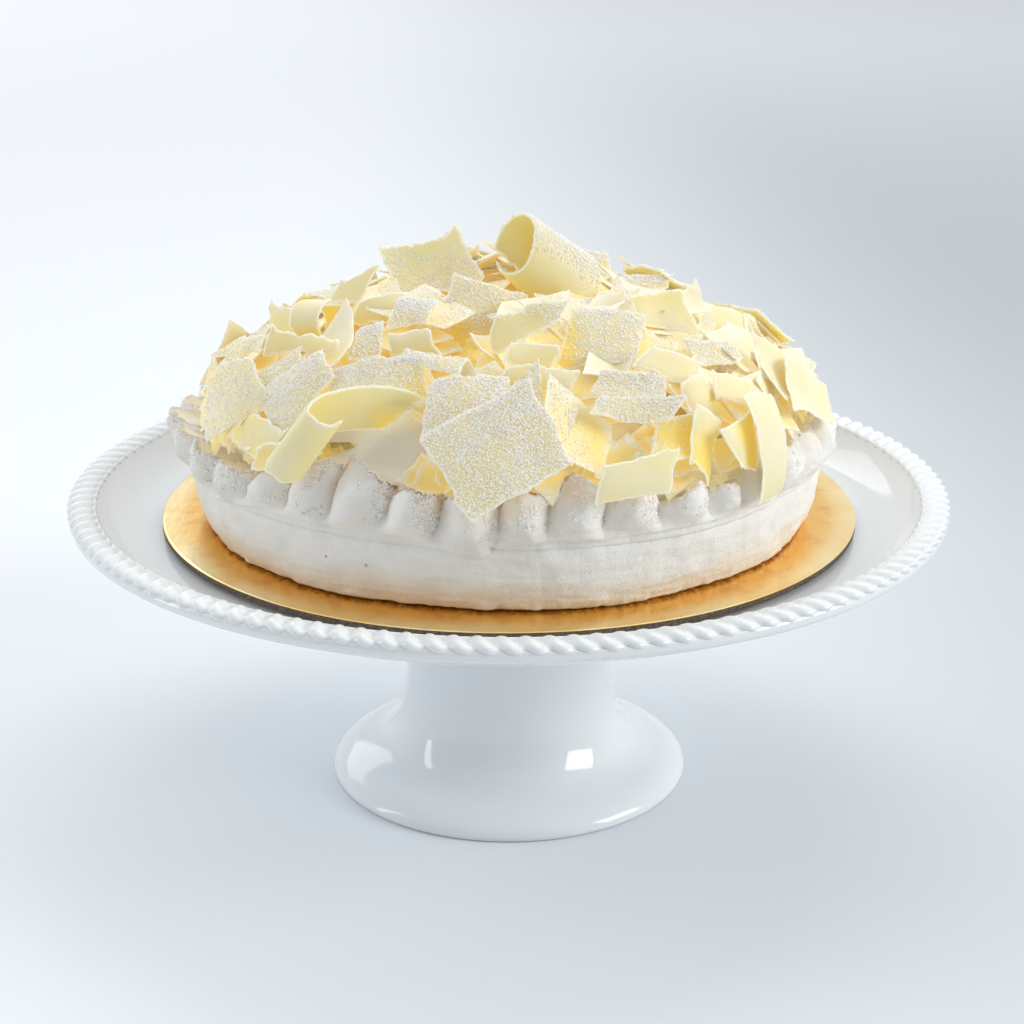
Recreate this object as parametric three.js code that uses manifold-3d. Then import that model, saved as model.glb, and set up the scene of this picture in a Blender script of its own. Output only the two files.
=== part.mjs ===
/**
 * A vacherin cake on its own stand: a glazed ceramic cake stand with a rope rim, a gold cake
 * board, a meringue base with a piped border, a cream filling and a heap of chocolate shavings.
 *
 * Millimetres, +Z up. The origin is the centre of the foot's underside and -Y is the front.
 * A column angle is counted from the front towards +X.
 */
import * as THREE from 'three';
import { mergeVertices } from 'three/addons/utils/BufferGeometryUtils.js';
import Module from 'manifold-3d';

const wasm = await Module();
wasm.setup();

// ---------------------------------------------------------------- driving dimensions

const GAP = 0.3; // clearance kept between pieces that touch

const STAND = {
  plateRadius: 166.4, // outermost points of the rope rim
  ropeCrest: 161.6, // radius of the rope's top
  ropeHeight: 120, // top of the rope above the table
  ropeRidges: 132, // ridges round the rim
  ropeDepth: 1.3, // how deep the grooves between ridges are
  seatHeight: 107.2, // top of the plate's centre, under the board
  waistRadius: 39.6,
  footRadius: 70,
  footWall: 7,
  columns: 44, // columns round the plain surfaces
};

const BOARD = { radius: 131.8, bottom: STAND.seatHeight + GAP, top: 110, columns: 56 };

const BASE = { bottom: BOARD.top + GAP, seam: 134, radius: 118.5, columns: 38 };

const BORDER = {
  bottom: BASE.seam + GAP,
  innerRadius: 100,
  wallRadius: 118,
  petalDepth: 3.4, // how far a petal's middle stands out of the crease beside it
  tipRadius: 115,
  creaseHeight: 145,
  petalColumns: 4,
};

/** Petals across the front: [angle of the middle, height of the tip, lean of the tip in degrees]. */
const FRONT_PETALS = [
  [-66, 151, 1], [-59, 148, 5], [-50, 150, 7], [-41, 154, 5], [-32, 160, 0], [-25, 161, -2],
  [-15.5, 152, -2], [-5, 153.5, -4], [3, 155, 0], [11.5, 160, -2], [20.5, 151, -1],
  [30, 152, 1], [39, 149, 0], [45.5, 150, 1],
];
const BACK_PETALS = 26; // petals round the rest of the border

/**
 * Where the petals run together into a smooth wall: the angles over which this begins and ends,
 * how far that wall stands out and up as a share of a petal, and how much higher it is.
 */
const CALM = { begins: [47, 58], ends: [96, 116], stand: 0.9, rise: 0.7, higher: 4 };

const CREAM = { bottom: BASE.seam + GAP, crown: 178, columns: 36 };

const MOUND = {
  radius: 109, // where the heap meets the cream
  rim: 153.5,
  floor: 150, // height at which the dome would end
  reach: 124,
  height: 50,
  shard: 6, // how far single shards stand out of the dome
  fall: 8, // how much lower the dome's outer part lies behind than in front
  fallTurn: [66, 100], // angles between which it sinks by that much
  fallRadius: [30, 65], // radii between which it does
  columns: 36,
};

/** Bays where the cream shows at the foot of the heap: [angle, half width in degrees, depth]. */
const CREAM_BAYS = [[-24, 8, 9], [68, 6, 7]];

const SHAVING_THICKNESS = 1.3;

/**
 * Flat and bent shavings, each [name, middle, attitude, size, form].
 * attitude: the face looks towards angle a, lifted by b degrees, and is turned by c degrees.
 * size: length and width. form: taper of the width along the length, lean of the ends in
 * degrees, and bend of the whole length in degrees, positive where the ends curl outwards.
 */
const SHAVINGS = [
  ['front_square', [-5, -119, 170], [-3, 35, 30], [38, 28], [0, -10, -10]],
  ['shelf_dusted', [-15, -101, 179], [-5, 50, 10], [28, 17], [-0.1, 20, -15]],
  ['front_clean', [42, -119, 159], [15, 20, 0], [24, 12], [0.1, 10, -10]],
  ['front_behind', [54, -102, 166], [20, 30, -5], [14, 11], [0.1, 20, 0]],
  ['middle_band', [11, -91, 184], [0, 20, -5], [24, 7], [0.3, 15, -20]],
  ['yellow_under', [8, -79, 189], [0, 30, -5], [15, 8], [0.2, 15, 20]],
  ['long_dusted_edge', [7, -69, 197], [-10, 25, 25], [27, 11], [-0.2, 15, -15]],
  ['centre_sheet', [32, -67, 193], [10, 45, 5], [28, 20], [-0.1, 30, -15]],
  ['right_dusted_top', [40, -93, 182], [10, 40, -10], [24, 10], [-0.1, 15, -25]],
  ['right_band', [42, -99, 176], [10, 40, -5], [28, 7], [0.1, 40, 40]],
  ['right_clean', [54, -77, 186], [25, 40, -30], [20, 11], [0, 20, -8]],
  ['right_dusted', [72, -58, 184], [40, 50, -10], [22, 9], [-0.1, 0, 10]],
  ['right_face', [76, -76, 177], [45, 30, -25], [18, 9], [0, 0, -10]],
  ['right_fold', [65, -85, 176], [35, 25, -5], [14, 13], [0.3, -30, -30]],
  ['right_oval', [79, -94, 162], [55, 10, 5], [15, 17], [0.2, -5, -25]],
  ['right_upright', [65, -99, 164], [45, 5, -35], [13, 16], [0, -25, -15]],
  ['right_long', [89, -86, 158], [65, 10, -15], [20, 32], [0, -10, -10]],
  ['right_outer', [107, -47, 167], [70, 35, -35], [30, 17], [-0.2, 25, -10]],
  ['right_shoulder', [96, -49, 174], [65, 40, -30], [16, 23], [-0.2, 0, -20]],
  ['upper_right', [54, -39, 194], [20, 25, -10], [22, 11], [0.4, -30, 15]],
  ['far_right_back', [85, 20, 176], [45, 35, -20], [27, 10], [-0.2, 10, 0]],
  ['top_back_dusted', [52, 25, 190], [10, 55, 0], [19, 7], [-0.1, 35, 10]],
  ['peak_shoulder', [33, 12, 200], [20, 30, -15], [11, 11], [-0.3, -30, -15]],
  ['peak_square', [-29, -5, 205], [-15, 30, 20], [33, 21], [0, -15, 60]],
  ['peak_back_sheet', [-11, -40, 193], [5, 35, -10], [24, 23], [-0.1, 15, -20]],
  ['leaf_dusted', [-34, -51, 197], [-15, 55, 15], [14, 12], [0, 30, 10]],
  ['leaf_under', [-34, -64, 190], [-15, 20, 5], [17, 9], [0.1, -25, 20]],
  ['ledge_left', [-49, -61, 190], [-20, 50, 20], [9, 13], [-0.1, 5, 0]],
  ['ledge_dusted', [-26, -84, 188], [-5, 60, -15], [19, 5], [0.3, 5, 15]],
  ['behind_curl', [-45, -86, 182], [-20, 45, 0], [33, 13], [0.6, -30, -50]],
  ['left_dusted', [-72, -77, 178], [-45, 40, 65], [27, 18], [-0.2, 10, -15]],
  ['left_behind', [-82, -63, 176], [-45, 45, 45], [26, 15], [-0.2, 0, -10]],
  ['left_outer', [-96, -37, 180], [-60, 40, 10], [19, 10], [0, 40, 10]],
  ['left_lower', [-97, -57, 170], [-60, 30, 30], [32, 24], [-0.2, -35, -20]],
  ['left_upright', [-81, -24, 188], [-40, 20, 0], [15, 8], [-0.3, -25, 20]],
  ['left_band', [-71, -54, 186], [-35, 10, 5], [31, 6], [-0.5, 20, 30]],
  ['left_flakes', [-56, -25, 199], [-20, 25, 20], [14, 9], [0.1, 40, 15]],
  ['left_shelf', [-46, -38, 195], [-10, 20, 15], [17, 7], [0.1, 40, -20]],
  ['low_left', [-87, -81, 161], [-55, 25, -5], [30, 13], [0, 25, -15]],
  ['low_left_tip', [-78, -94, 158], [-45, 15, 15], [15, 10], [-0.1, 20, 10]],
];

/**
 * Rolled shavings. The mouth lies in a plane that faces (angle, lift); the wall runs from it
 * towards (angle, rise). The mouth's radius grows from `radius` by `grow` over the sweep, faster
 * near its end with a higher `power`, as does the wall's length from the first to the second of
 * `lengths`. The mouth is `flat` times as high as it is wide.
 */
const ROLLS = [
  { name: 'peak_roll', mouth: [2, -18, 214], faces: [-45, 25], runs: [112, -40], radius: 8.6, flat: 1.25,
    grow: 1.1, power: 1, start: -140, sweep: 335, lengths: [26, 36], foot: 1.25 },
  { name: 'front_curl', mouth: [-59, -104, 177], faces: [16, 44], runs: [-95, -54], radius: 6.5, flat: 0.75,
    grow: 4.8, power: 7.5, start: -50, sweep: -303, lengths: [25, 16], foot: 1.05 },
  { name: 'left_ring', mouth: [-62, -32, 189], faces: [50, 15], runs: [-110, -5], radius: 7.4, flat: 0.85,
    grow: 1.25, power: 1, start: 60, sweep: -330, lengths: [10, 11], foot: 1 },
];

/**
 * Shavings laid by a loop over the back of the heap: how many, the angles they lie between, how
 * deep they are set into the heap, and how far they face upwards at its edge, how much more so
 * at its crown, and by how much this varies.
 */
const BACK = { count: 10, from: 105, to: 255, depth: 3, edgeLift: 26, crownLift: 48, stray: 14 };

// ---------------------------------------------------------------- materials

const white = new THREE.MeshStandardMaterial({ color: 0xeef0f1, roughness: 0.12 });
const gold = new THREE.MeshStandardMaterial({ color: 0xdca54a, roughness: 0.28, metalness: 0.9 });
const meringue = new THREE.MeshStandardMaterial({ color: 0xf6f1ea, roughness: 0.85 });
const cream = new THREE.MeshStandardMaterial({ color: 0xf7f0dc, roughness: 0.5 });
const chocolate = new THREE.MeshStandardMaterial({ color: 0xf0e2b0, roughness: 0.45 });

// ---------------------------------------------------------------- building blocks

const radians = THREE.MathUtils.degToRad;

/** A point at a column angle (radians from the front), a radius and a height. */
function polar(angle, radius, height) {
  return [radius * Math.sin(angle), -radius * Math.cos(angle), height];
}

/** A repeatable number from 0 to 1 for each whole number k and channel. */
function scatter(k, channel) {
  const value = Math.sin(k * 12.9898 + channel * 78.233) * 43758.5453;
  return value - Math.floor(value);
}

/** A ring of points round the Z axis; shape(angle, column) gives its radius and height. */
function ring(count, shape) {
  return Array.from({ length: count }, (_, i) => {
    const angle = (2 * Math.PI * i) / count;
    return polar(angle, ...shape(angle, i));
  });
}

/** A ring with one radius and height all round. */
const plainRing = (count, radius, height) => ring(count, () => [radius, height]);

/** Triangles between two rings, where one may have a whole multiple of the other's points. */
function stitch(upper, lower, triangles) {
  const coarse = Math.min(upper.length, lower.length);
  const fanUpper = upper.length / coarse;
  const fanLower = lower.length / coarse;
  for (let i = 0; i < coarse; i += 1) {
    let a = i * fanUpper;
    let b = i * fanLower;
    const endA = a + fanUpper;
    const endB = b + fanLower;
    while (a < endA || b < endB) {
      const shareA = (a - i * fanUpper) / fanUpper;
      const shareB = (b - i * fanLower) / fanLower;
      if (b < endB && (shareB <= shareA || a === endA)) {
        triangles.push(upper[a % upper.length], lower[b % lower.length], lower[(b + 1) % lower.length]);
        b += 1;
      } else {
        triangles.push(upper[a % upper.length], lower[b % lower.length], upper[(a + 1) % upper.length]);
        a += 1;
      }
    }
  }
}

/** Triangles that close a ring onto one point of the axis. */
function cap(centre, points, facesUp, triangles) {
  points.forEach((point, i) => {
    const next = points[(i + 1) % points.length];
    triangles.push(centre, ...(facesUp ? [point, next] : [next, point]));
  });
}

/** A geometry from a flat list of triangle corners. */
function geometryOf(triangles) {
  const geometry = new THREE.BufferGeometry();
  geometry.setAttribute('position', new THREE.Float32BufferAttribute(triangles.flat(), 3));
  return mergeVertices(geometry, 1e-5);
}

/** A body between two heights on the axis, through rings that go down its outside. */
function turned(topHeight, rings, bottomHeight) {
  const triangles = [];
  cap([0, 0, topHeight], rings[0], true, triangles);
  for (let i = 0; i + 1 < rings.length; i += 1) stitch(rings[i], rings[i + 1], triangles);
  cap([0, 0, bottomHeight], rings.at(-1), false, triangles);
  return geometryOf(triangles);
}

/** A ring-shaped body through rings that go once round its section. */
function hoop(rings) {
  const triangles = [];
  rings.forEach((points, i) => stitch(points, rings[(i + 1) % rings.length], triangles));
  return geometryOf(triangles);
}

/**
 * A closed sheet of even thickness: surface(s, t) gives the point and the unit normal of its
 * middle face for s and t from 0 to 1, sampled on (along + 1) by 2 points. `past` says how far
 * s and t run past both their ends.
 */
function plate(surface, along, thickness, past = [0, 0]) {
  const stretch = (share, extra) => share * (1 + 2 * extra) - extra;
  const face = (side) => Array.from({ length: along + 1 }, (_, i) => [0, 1].map((t) => {
    const { point, normal } = surface(stretch(i / along, past[0]), stretch(t, past[1]));
    return point.clone().addScaledVector(normal, (side * thickness) / 2).toArray();
  }));
  const [over, under] = [face(1), face(-1)];
  const triangles = [];
  const quad = (a, b, c, d) => triangles.push(a, b, c, a, c, d);
  for (let i = 0; i < along; i += 1) {
    quad(over[i][0], over[i + 1][0], over[i + 1][1], over[i][1]);
    quad(under[i][1], under[i + 1][1], under[i + 1][0], under[i][0]);
    quad(under[i][0], under[i + 1][0], over[i + 1][0], over[i][0]);
    quad(over[i][1], over[i + 1][1], under[i + 1][1], under[i][1]);
  }
  quad(under[0][1], under[0][0], over[0][0], over[0][1]);
  quad(over[along][1], over[along][0], under[along][0], under[along][1]);
  return geometryOf(triangles);
}

/** A closed geometry as a solid that can be cut; it is turned right side out. */
function solidOf(geometry) {
  const index = Uint32Array.from(geometry.index.array);
  const solid = new wasm.Manifold(new wasm.Mesh({
    numProp: 3, vertProperties: geometry.attributes.position.array, triVerts: index,
  }));
  if (solid.volume() > 0) return solid;
  for (let i = 0; i < index.length; i += 3) [index[i + 1], index[i + 2]] = [index[i + 2], index[i + 1]];
  return new wasm.Manifold(new wasm.Mesh({
    numProp: 3, vertProperties: geometry.attributes.position.array, triVerts: index,
  }));
}

/** The largest separate piece of a solid. */
function largestPiece(solid) {
  return solid.decompose().reduce((best, piece) => (piece.volume() > best.volume() ? piece : best));
}

/** A solid as a geometry. */
function geometryFrom(solid) {
  const { vertProperties, triVerts } = solid.getMesh();
  const geometry = new THREE.BufferGeometry();
  geometry.setAttribute('position', new THREE.BufferAttribute(Float32Array.from(vertProperties), 3));
  geometry.setIndex(new THREE.BufferAttribute(Uint32Array.from(triVerts), 1));
  return geometry;
}

/** Unit vectors of a face that looks towards `angle`, lifted by `lift`: right, up and outwards. */
function faceAxes(angle, lift) {
  const [a, e] = [radians(angle), radians(lift)];
  const out = new THREE.Vector3(Math.sin(a) * Math.cos(e), -Math.cos(a) * Math.cos(e), Math.sin(e));
  const right = new THREE.Vector3(Math.cos(a), Math.sin(a), 0);
  return { right, up: new THREE.Vector3().crossVectors(out, right), out };
}

// ---------------------------------------------------------------- stand and board

/** The stand: a dished plate with a rope rim on a waisted pedestal that is hollow from below. */
function cakeStand() {
  const { columns, ropeRidges, ropeDepth, ropeCrest, ropeHeight } = STAND;
  const { plateRadius, waistRadius, footRadius } = STAND;
  const plain = (radius, height) => plainRing(columns, radius, height);
  const isRidge = (column) => column % 2 === 0;
  const crest = ring(2 * ropeRidges, (_, i) => [ropeCrest, ropeHeight - (isRidge(i) ? 0 : ropeDepth)]);
  const edge = ring(2 * ropeRidges, (_, i) => [plateRadius - (isRidge(i) ? 0 : ropeDepth), ropeHeight - 3]);
  const hollowFoot = footRadius - STAND.footWall;
  return turned(STAND.seatHeight, [
    plain(112, STAND.seatHeight), plain(134, 105.2), plain(147, 107.6), plain(156.5, 117.4),
    crest, edge,
    plain(plateRadius - 0.6, 113.6), plain(160, 111), plain(146, 104), plain(110, 98.7),
    plain(52, 96.5), plain(waistRadius + 3.4, 91.5), plain(waistRadius + 0.8, 80), plain(waistRadius, 60),
    plain(waistRadius + 1.4, 34), plain(waistRadius + 4.9, 20), plain(50, 12.5), plain(63, 8),
    plain(67.5, 5.6), plain(footRadius, 2.4),
    plain(footRadius, 0), plain(hollowFoot, 0), plain(hollowFoot - 1, 1.5), plain(50, 7.5), plain(42, 13),
    plain(37, 22), plain(34.8, 38), plain(34.4, 84), plain(27, 92),
  ], 94);
}

/** The gold cake board: a plain disc of foiled card. */
function cakeBoard() {
  const edge = (height) => plainRing(BOARD.columns, BOARD.radius, height);
  return turned(BOARD.top, [edge(BOARD.top), edge(BOARD.bottom)], BOARD.bottom);
}

// ---------------------------------------------------------------- meringue

/** How much the meringue's hand-spread wall stands in or out at an angle. */
function spread(angle) {
  return 1.5 * Math.sin(-angle) + 1.0 * Math.sin(2 * angle + 1) + 0.6 * Math.sin(5 * angle);
}

/** The meringue base: a thick disc whose wall bulges above a drawn-in foot. */
function meringueBase() {
  const { bottom, seam, radius, columns } = BASE;
  const wall = (inset, height) => ring(columns, (angle) => [radius - inset + spread(angle), height]);
  return turned(seam, [
    wall(3.5, seam), wall(0.6, seam - 2), wall(0, seam - 8), wall(1.2, 118), wall(3.2, 113),
    wall(4.8, bottom),
  ], bottom);
}

/** How far the petals have run together into a smooth full wall, on the right side. */
function calm(degrees) {
  const { smoothstep } = THREE.MathUtils;
  return smoothstep(degrees, ...CALM.begins) * (1 - smoothstep(degrees, ...CALM.ends));
}

/** All petals of the border, from the first front one round to where they close. */
function petals() {
  const [first, last] = [FRONT_PETALS[0][0], FRONT_PETALS.at(-1)[0]];
  const pitch = (first + 360 - last) / (BACK_PETALS + 1);
  const back = Array.from({ length: BACK_PETALS }, (_, k) => {
    const middle = last + pitch * (k + 1 + 0.3 * (scatter(k, 1) - 0.5));
    return [middle, 148 + 9 * scatter(k, 2) + CALM.higher * calm(middle), 6 * (scatter(k, 3) - 0.5)];
  });
  return [...FRONT_PETALS, ...back];
}

/**
 * The piped border: a ring of shell-shaped petals. Within a petal u runs from -1 to 1; its wall
 * stands out by the half circle sqrt(1 - u * u), and its top rises straight to the tip.
 */
function pipedBorder() {
  const list = petals();
  const { bottom, innerRadius, wallRadius, petalDepth, tipRadius, creaseHeight, petalColumns } = BORDER;
  const samples = list.flatMap(([middle, tip, lean], p) => {
    const before = p > 0 ? list[p - 1][0] : list.at(-1)[0] - 360;
    const after = p + 1 < list.length ? list[p + 1][0] : list[0][0] + 360;
    const [start, end] = [(before + middle) / 2, (middle + after) / 2];
    return Array.from({ length: petalColumns }, (_, c) => {
      const u = (2 * c) / petalColumns - 1;
      const angle = u < 0 ? middle + u * (middle - start) : middle + u * (end - middle);
      const full = calm(angle);
      return {
        angle, tip,
        lean: lean * (1 - Math.abs(u)), rise: 1 - Math.abs(u),
        top: Math.max(1 - Math.abs(u), CALM.rise * full),
        lobe: Math.sqrt(1 - u * u) * (1 - full) + CALM.stand * full,
      };
    });
  });
  const row = (share, radius, height) => samples.map((s) => {
    const angle = radians(s.angle + share * s.lean);
    return polar(angle, radius(s, spread(angle)), height(s));
  });
  return hoop([
    row(1, (s, wave) => tipRadius + wave * 0.5 - 1.5 * s.rise,
      (s) => creaseHeight + (s.tip - creaseHeight) * s.top),
    row(0.6, (s, wave) => wallRadius - 0.5 + petalDepth * 0.7 * s.lobe + wave * 0.8,
      (s) => creaseHeight + (s.tip - creaseHeight) * 0.3 * s.top),
    row(0.2, (s, wave) => wallRadius + petalDepth * s.lobe + wave, () => 140),
    row(0, (s, wave) => wallRadius - 0.5 + petalDepth * 0.6 * s.lobe + wave, () => bottom),
    row(0, () => innerRadius, () => bottom),
  ]);
}

// ---------------------------------------------------------------- filling and heap

/** A column angle in degrees, from -180 to 180. */
function turnOf(angle) {
  return THREE.MathUtils.euclideanModulo(THREE.MathUtils.radToDeg(angle) + 180, 360) - 180;
}

/** How deep the heap's foot stands back at an angle, so that the cream shows. */
function bay(angle) {
  const turn = turnOf(angle);
  const share = ([at, width, depth]) => depth * Math.exp(-(((turn - at) / width) ** 2));
  return CREAM_BAYS.reduce((sum, spec) => sum + share(spec), 0);
}

/** The cream filling: a low dome inside the border, with lumps where it shows. */
function creamFilling(grow = 0) {
  const { bottom, crown, columns } = CREAM;
  const row = (radius, height, lump) => ring(columns, (angle) => [
    radius + grow + lump * 0.3 * bay(angle), height + grow + lump * 0.2 * bay(angle),
  ]);
  return turned(crown + grow, [
    row(55, crown - 1, 0), row(84, 172, 0.5), row(99, 163, 1), row(105.5, 156, 0.6), row(106.5, 151.5, 0),
    row(104.5, 146.5, 0), row(98.8, bottom - grow, 0),
  ], bottom - grow);
}

/** Height of the heap's mean outline at a radius: a flat-topped dome. */
function moundHeight(radius) {
  return MOUND.floor + MOUND.height * (1 - (radius / MOUND.reach) ** 2.6) ** 0.75;
}

/** The heap of small shavings as one solid, out to its uneven outline of leaning shards. */
function heapOutline() {
  const { radius, rim, shard, fall, fallTurn, fallRadius, columns } = MOUND;
  const { smoothstep } = THREE.MathUtils;
  const row = (at, k) => ring(columns, (angle, i) => {
    const lower = fall * smoothstep(Math.abs(turnOf(angle)), ...fallTurn) * smoothstep(at, ...fallRadius);
    const r = at - bay(angle) * (at / radius) ** 4 + shard * (scatter(i, 20 + k) - 0.5);
    return [r, moundHeight(r) - lower - shard / 2 + shard * (at / radius) * (scatter(i, 30 + k) - 0.5)];
  });
  const foot = (height, inset) => ring(columns, (angle, i) => [
    radius - inset - bay(angle) - 0.4 * shard * scatter(i, 40), height,
  ]);
  return turned(moundHeight(0), [
    row(22, 0), row(44, 1), row(64, 2), row(82, 3), row(98, 4),
    foot(rim + 8, 0), foot(rim, 0.5), foot(rim, 9),
  ], rim);
}

/** One flat or bent shaving. */
function sheet([, middle, [angle, lift, turn], [length, width], [taper, lean, bend]], grow = 0) {
  const { right, up, out } = faceAxes(angle, lift);
  const tilt = radians(turn);
  const along = right.clone().multiplyScalar(Math.cos(tilt)).addScaledVector(up, Math.sin(tilt));
  const across = new THREE.Vector3().crossVectors(out, along);
  const curvature = radians(bend) / length;
  const surface = (s, t) => {
    const q = (t - 0.5) * width * (1 + (2 * s - 1) * taper);
    const p = (s - 0.5) * length + q * Math.tan(radians(lean));
    const arc = curvature * p;
    const level = curvature ? Math.sin(arc) / curvature : p;
    const raised = curvature ? (1 - Math.cos(arc)) / curvature : 0;
    const point = new THREE.Vector3(...middle)
      .addScaledVector(along, level).addScaledVector(across, q).addScaledVector(out, raised);
    const normal = out.clone().multiplyScalar(Math.cos(arc)).addScaledVector(along, -Math.sin(arc));
    return { point, normal };
  };
  const past = [grow / length, grow / width].map((share) => 1.5 * share);
  return plate(surface, Math.abs(bend) > 12 ? 3 : 2, SHAVING_THICKNESS + 2 * grow, past);
}

/** One rolled shaving: its wall runs from a spiral mouth along a straight way. */
function roll(spec, grow = 0) {
  const { mouth, faces, runs, radius, flat, power, start, sweep, lengths, foot } = spec;
  const { right, up } = faceAxes(...faces);
  const way = faceAxes(...runs).out;
  const at = (s, t) => {
    const late = Math.max(s, 0) ** power;
    const phi = radians(start + sweep * s);
    const rho = radius * (1 + (spec.grow - 1) * late) * (1 + (foot - 1) * t);
    return new THREE.Vector3(...mouth)
      .addScaledVector(right, rho * Math.cos(phi)).addScaledVector(up, rho * flat * Math.sin(phi))
      .addScaledVector(way, (lengths[0] + (lengths[1] - lengths[0]) * late) * t);
  };
  const surface = (s, t) => {
    const step = 0.002;
    const ds = at(s + step, t).sub(at(s - step, t));
    const dt = at(s, t + step).sub(at(s, t - step));
    return { point: at(s, t), normal: ds.cross(dt).normalize() };
  };
  const rim = radius * radians(Math.abs(sweep));
  return plate(surface, 16, SHAVING_THICKNESS + 2 * grow, [grow / rim, 1.5 * (grow / Math.min(...lengths))]);
}

/** A shaving for the back of the heap, the k-th of them, laid on the mound facing outwards. */
function backShaving(k) {
  const angle = BACK.from + ((BACK.to - BACK.from) * (k + 0.5)) / BACK.count;
  const radius = [108, 74, 100, 50][k % 4] + 6 * (scatter(k, 4) - 0.5);
  const inward = 1 - (radius / MOUND.reach) ** 2.2;
  const lift = BACK.edgeLift + BACK.crownLift * inward + BACK.stray * scatter(k, 5);
  return [
    `back_${String(k + 1).padStart(2, '0')}`,
    polar(radians(angle), radius, moundHeight(radius) - BACK.depth),
    [angle + 24 * (scatter(k, 6) - 0.5), lift, 70 * (scatter(k, 7) - 0.5)],
    [24 + 12 * scatter(k, 8), 15 + 9 * scatter(k, 9)],
    [0.5 * (scatter(k, 10) - 0.5), 40 * (scatter(k, 11) - 0.5), 70 * (scatter(k, 12) - 0.5)],
  ];
}

/** Lays shavings in order; each is cut clear of those already laid. */
function layShavings(makers) {
  const laid = [];
  for (const { name, make } of makers) {
    const cut = laid.reduce((solid, other) => solid.subtract(other.room), solidOf(make(0)));
    laid.push({ name, solid: largestPiece(cut), room: solidOf(make(GAP)) });
  }
  return laid;
}

// ---------------------------------------------------------------- the cake

const shavings = layShavings([
  ...ROLLS.map((spec) => ({ name: spec.name, make: (grow) => roll(spec, grow) })),
  ...SHAVINGS.map((spec) => ({ name: spec[0], make: (grow) => sheet(spec, grow) })),
  ...Array.from({ length: BACK.count }, (_, k) => backShaving(k))
    .map((spec) => ({ name: spec[0], make: (grow) => sheet(spec, grow) })),
]);

/** A solid without the room that the shavings take. */
function clearOfShavings(solid) {
  return largestPiece(shavings.reduce((rest, { room }) => rest.subtract(room), solid));
}

const border = clearOfShavings(solidOf(pipedBorder()));
const filling = clearOfShavings(solidOf(creamFilling()));
const heap = clearOfShavings(solidOf(heapOutline()).subtract(solidOf(creamFilling(GAP))));

const cake = new THREE.Group();
cake.name = 'vacherin_on_stand';

/** Adds one named piece. */
function add(name, geometry, material) {
  const mesh = new THREE.Mesh(geometry, material);
  mesh.name = name;
  cake.add(mesh);
}

add('cake_stand', cakeStand(), white);
add('cake_board', cakeBoard(), gold);
add('meringue_base', meringueBase(), meringue);
add('piped_border', geometryFrom(border), meringue);
add('cream_filling', geometryFrom(filling), cream);
add('shavings_heap', geometryFrom(heap), chocolate);
for (const { name, solid } of shavings) add(`shaving_${name}`, geometryFrom(solid), chocolate);

export default cake;
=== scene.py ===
"""A vacherin cake on a white cake stand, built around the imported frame.

Everything is in metres in the frame's own axes: +Z up, -Y the front, the origin under the
middle of the stand's foot. Sizes that come from the maker's drawing are written in millimetres
and turned into metres by MM. A column angle is counted from the front towards +X.
"""

from __future__ import annotations

import itertools
import logging
import math
from collections.abc import Sequence
from dataclasses import dataclass, field
from enum import Enum

import bpy
import numpy as np
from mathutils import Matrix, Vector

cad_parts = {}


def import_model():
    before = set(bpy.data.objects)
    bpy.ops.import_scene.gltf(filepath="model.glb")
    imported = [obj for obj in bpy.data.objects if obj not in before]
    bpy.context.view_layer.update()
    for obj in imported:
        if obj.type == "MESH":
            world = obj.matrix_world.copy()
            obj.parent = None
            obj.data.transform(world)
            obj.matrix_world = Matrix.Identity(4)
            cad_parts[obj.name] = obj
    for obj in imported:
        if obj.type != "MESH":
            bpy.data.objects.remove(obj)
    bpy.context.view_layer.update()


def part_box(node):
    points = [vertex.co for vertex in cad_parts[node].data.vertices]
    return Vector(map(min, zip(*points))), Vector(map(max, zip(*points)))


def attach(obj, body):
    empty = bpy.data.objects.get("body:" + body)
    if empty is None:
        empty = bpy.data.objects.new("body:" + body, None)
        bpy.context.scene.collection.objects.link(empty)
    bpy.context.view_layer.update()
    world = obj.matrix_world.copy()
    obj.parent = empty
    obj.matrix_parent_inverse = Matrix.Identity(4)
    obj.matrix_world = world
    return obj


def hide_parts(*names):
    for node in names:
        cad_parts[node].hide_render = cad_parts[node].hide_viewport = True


Array = np.ndarray
Point = tuple[float, float, float]
Colour = tuple[float, float, float, float]
Socket = bpy.types.NodeSocket

MM = 0.001
BODY = "root"
MM_PER_DEGREE = 2.05  # round the cake's wall
BLACK: Colour = (0.0, 0.0, 0.0, 1.0)
LOG = logging.getLogger("vacherin")


# ------------------------------------------------------------------ repeatable chance


def scatter(k: Array | float, channel: int) -> Array:
    """A repeatable number from 0 to 1 for each whole number k and channel.

    Formula: the fraction of 43758.5453 times the sine of 12.9898 k + 78.233 channel.
    """
    value = np.sin(np.asarray(k, float) * 12.9898 + channel * 78.233) * 43758.5453
    return value - np.floor(value)


def lattice_noise(points: Array, seed: int) -> Array:
    """Smooth noise from -1 to 1 at points given in cells.

    Formula: each whole-number corner holds a hashed random value, and a point takes the mean
    of its cell's eight corners weighted by the fade 6t^5 - 15t^4 + 10t^3 along each axis.

    Args:
        points: the places, an array of (n, 3).
        seed: picks another pattern.

    Returns:
        An array of n values.
    """
    cell = np.floor(points).astype(np.int64)
    part = points - cell
    fade = part**3 * (part * (part * 6 - 15) + 10)
    total = np.zeros(len(points))
    for corner in itertools.product((0, 1), repeat=3):
        mixed = (cell + np.array(corner)) @ np.array([73856093, 19349663, 83492791]) + seed * 7919
        mixed = (mixed ^ (mixed >> 13)) * 1274126177
        mixed = (mixed ^ (mixed >> 16)) & 0xFFFFFF
        weight = np.prod(np.where(corner, fade, 1 - fade), axis=1)
        total += weight * (mixed / 0x7FFFFF - 1)
    return total


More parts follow.
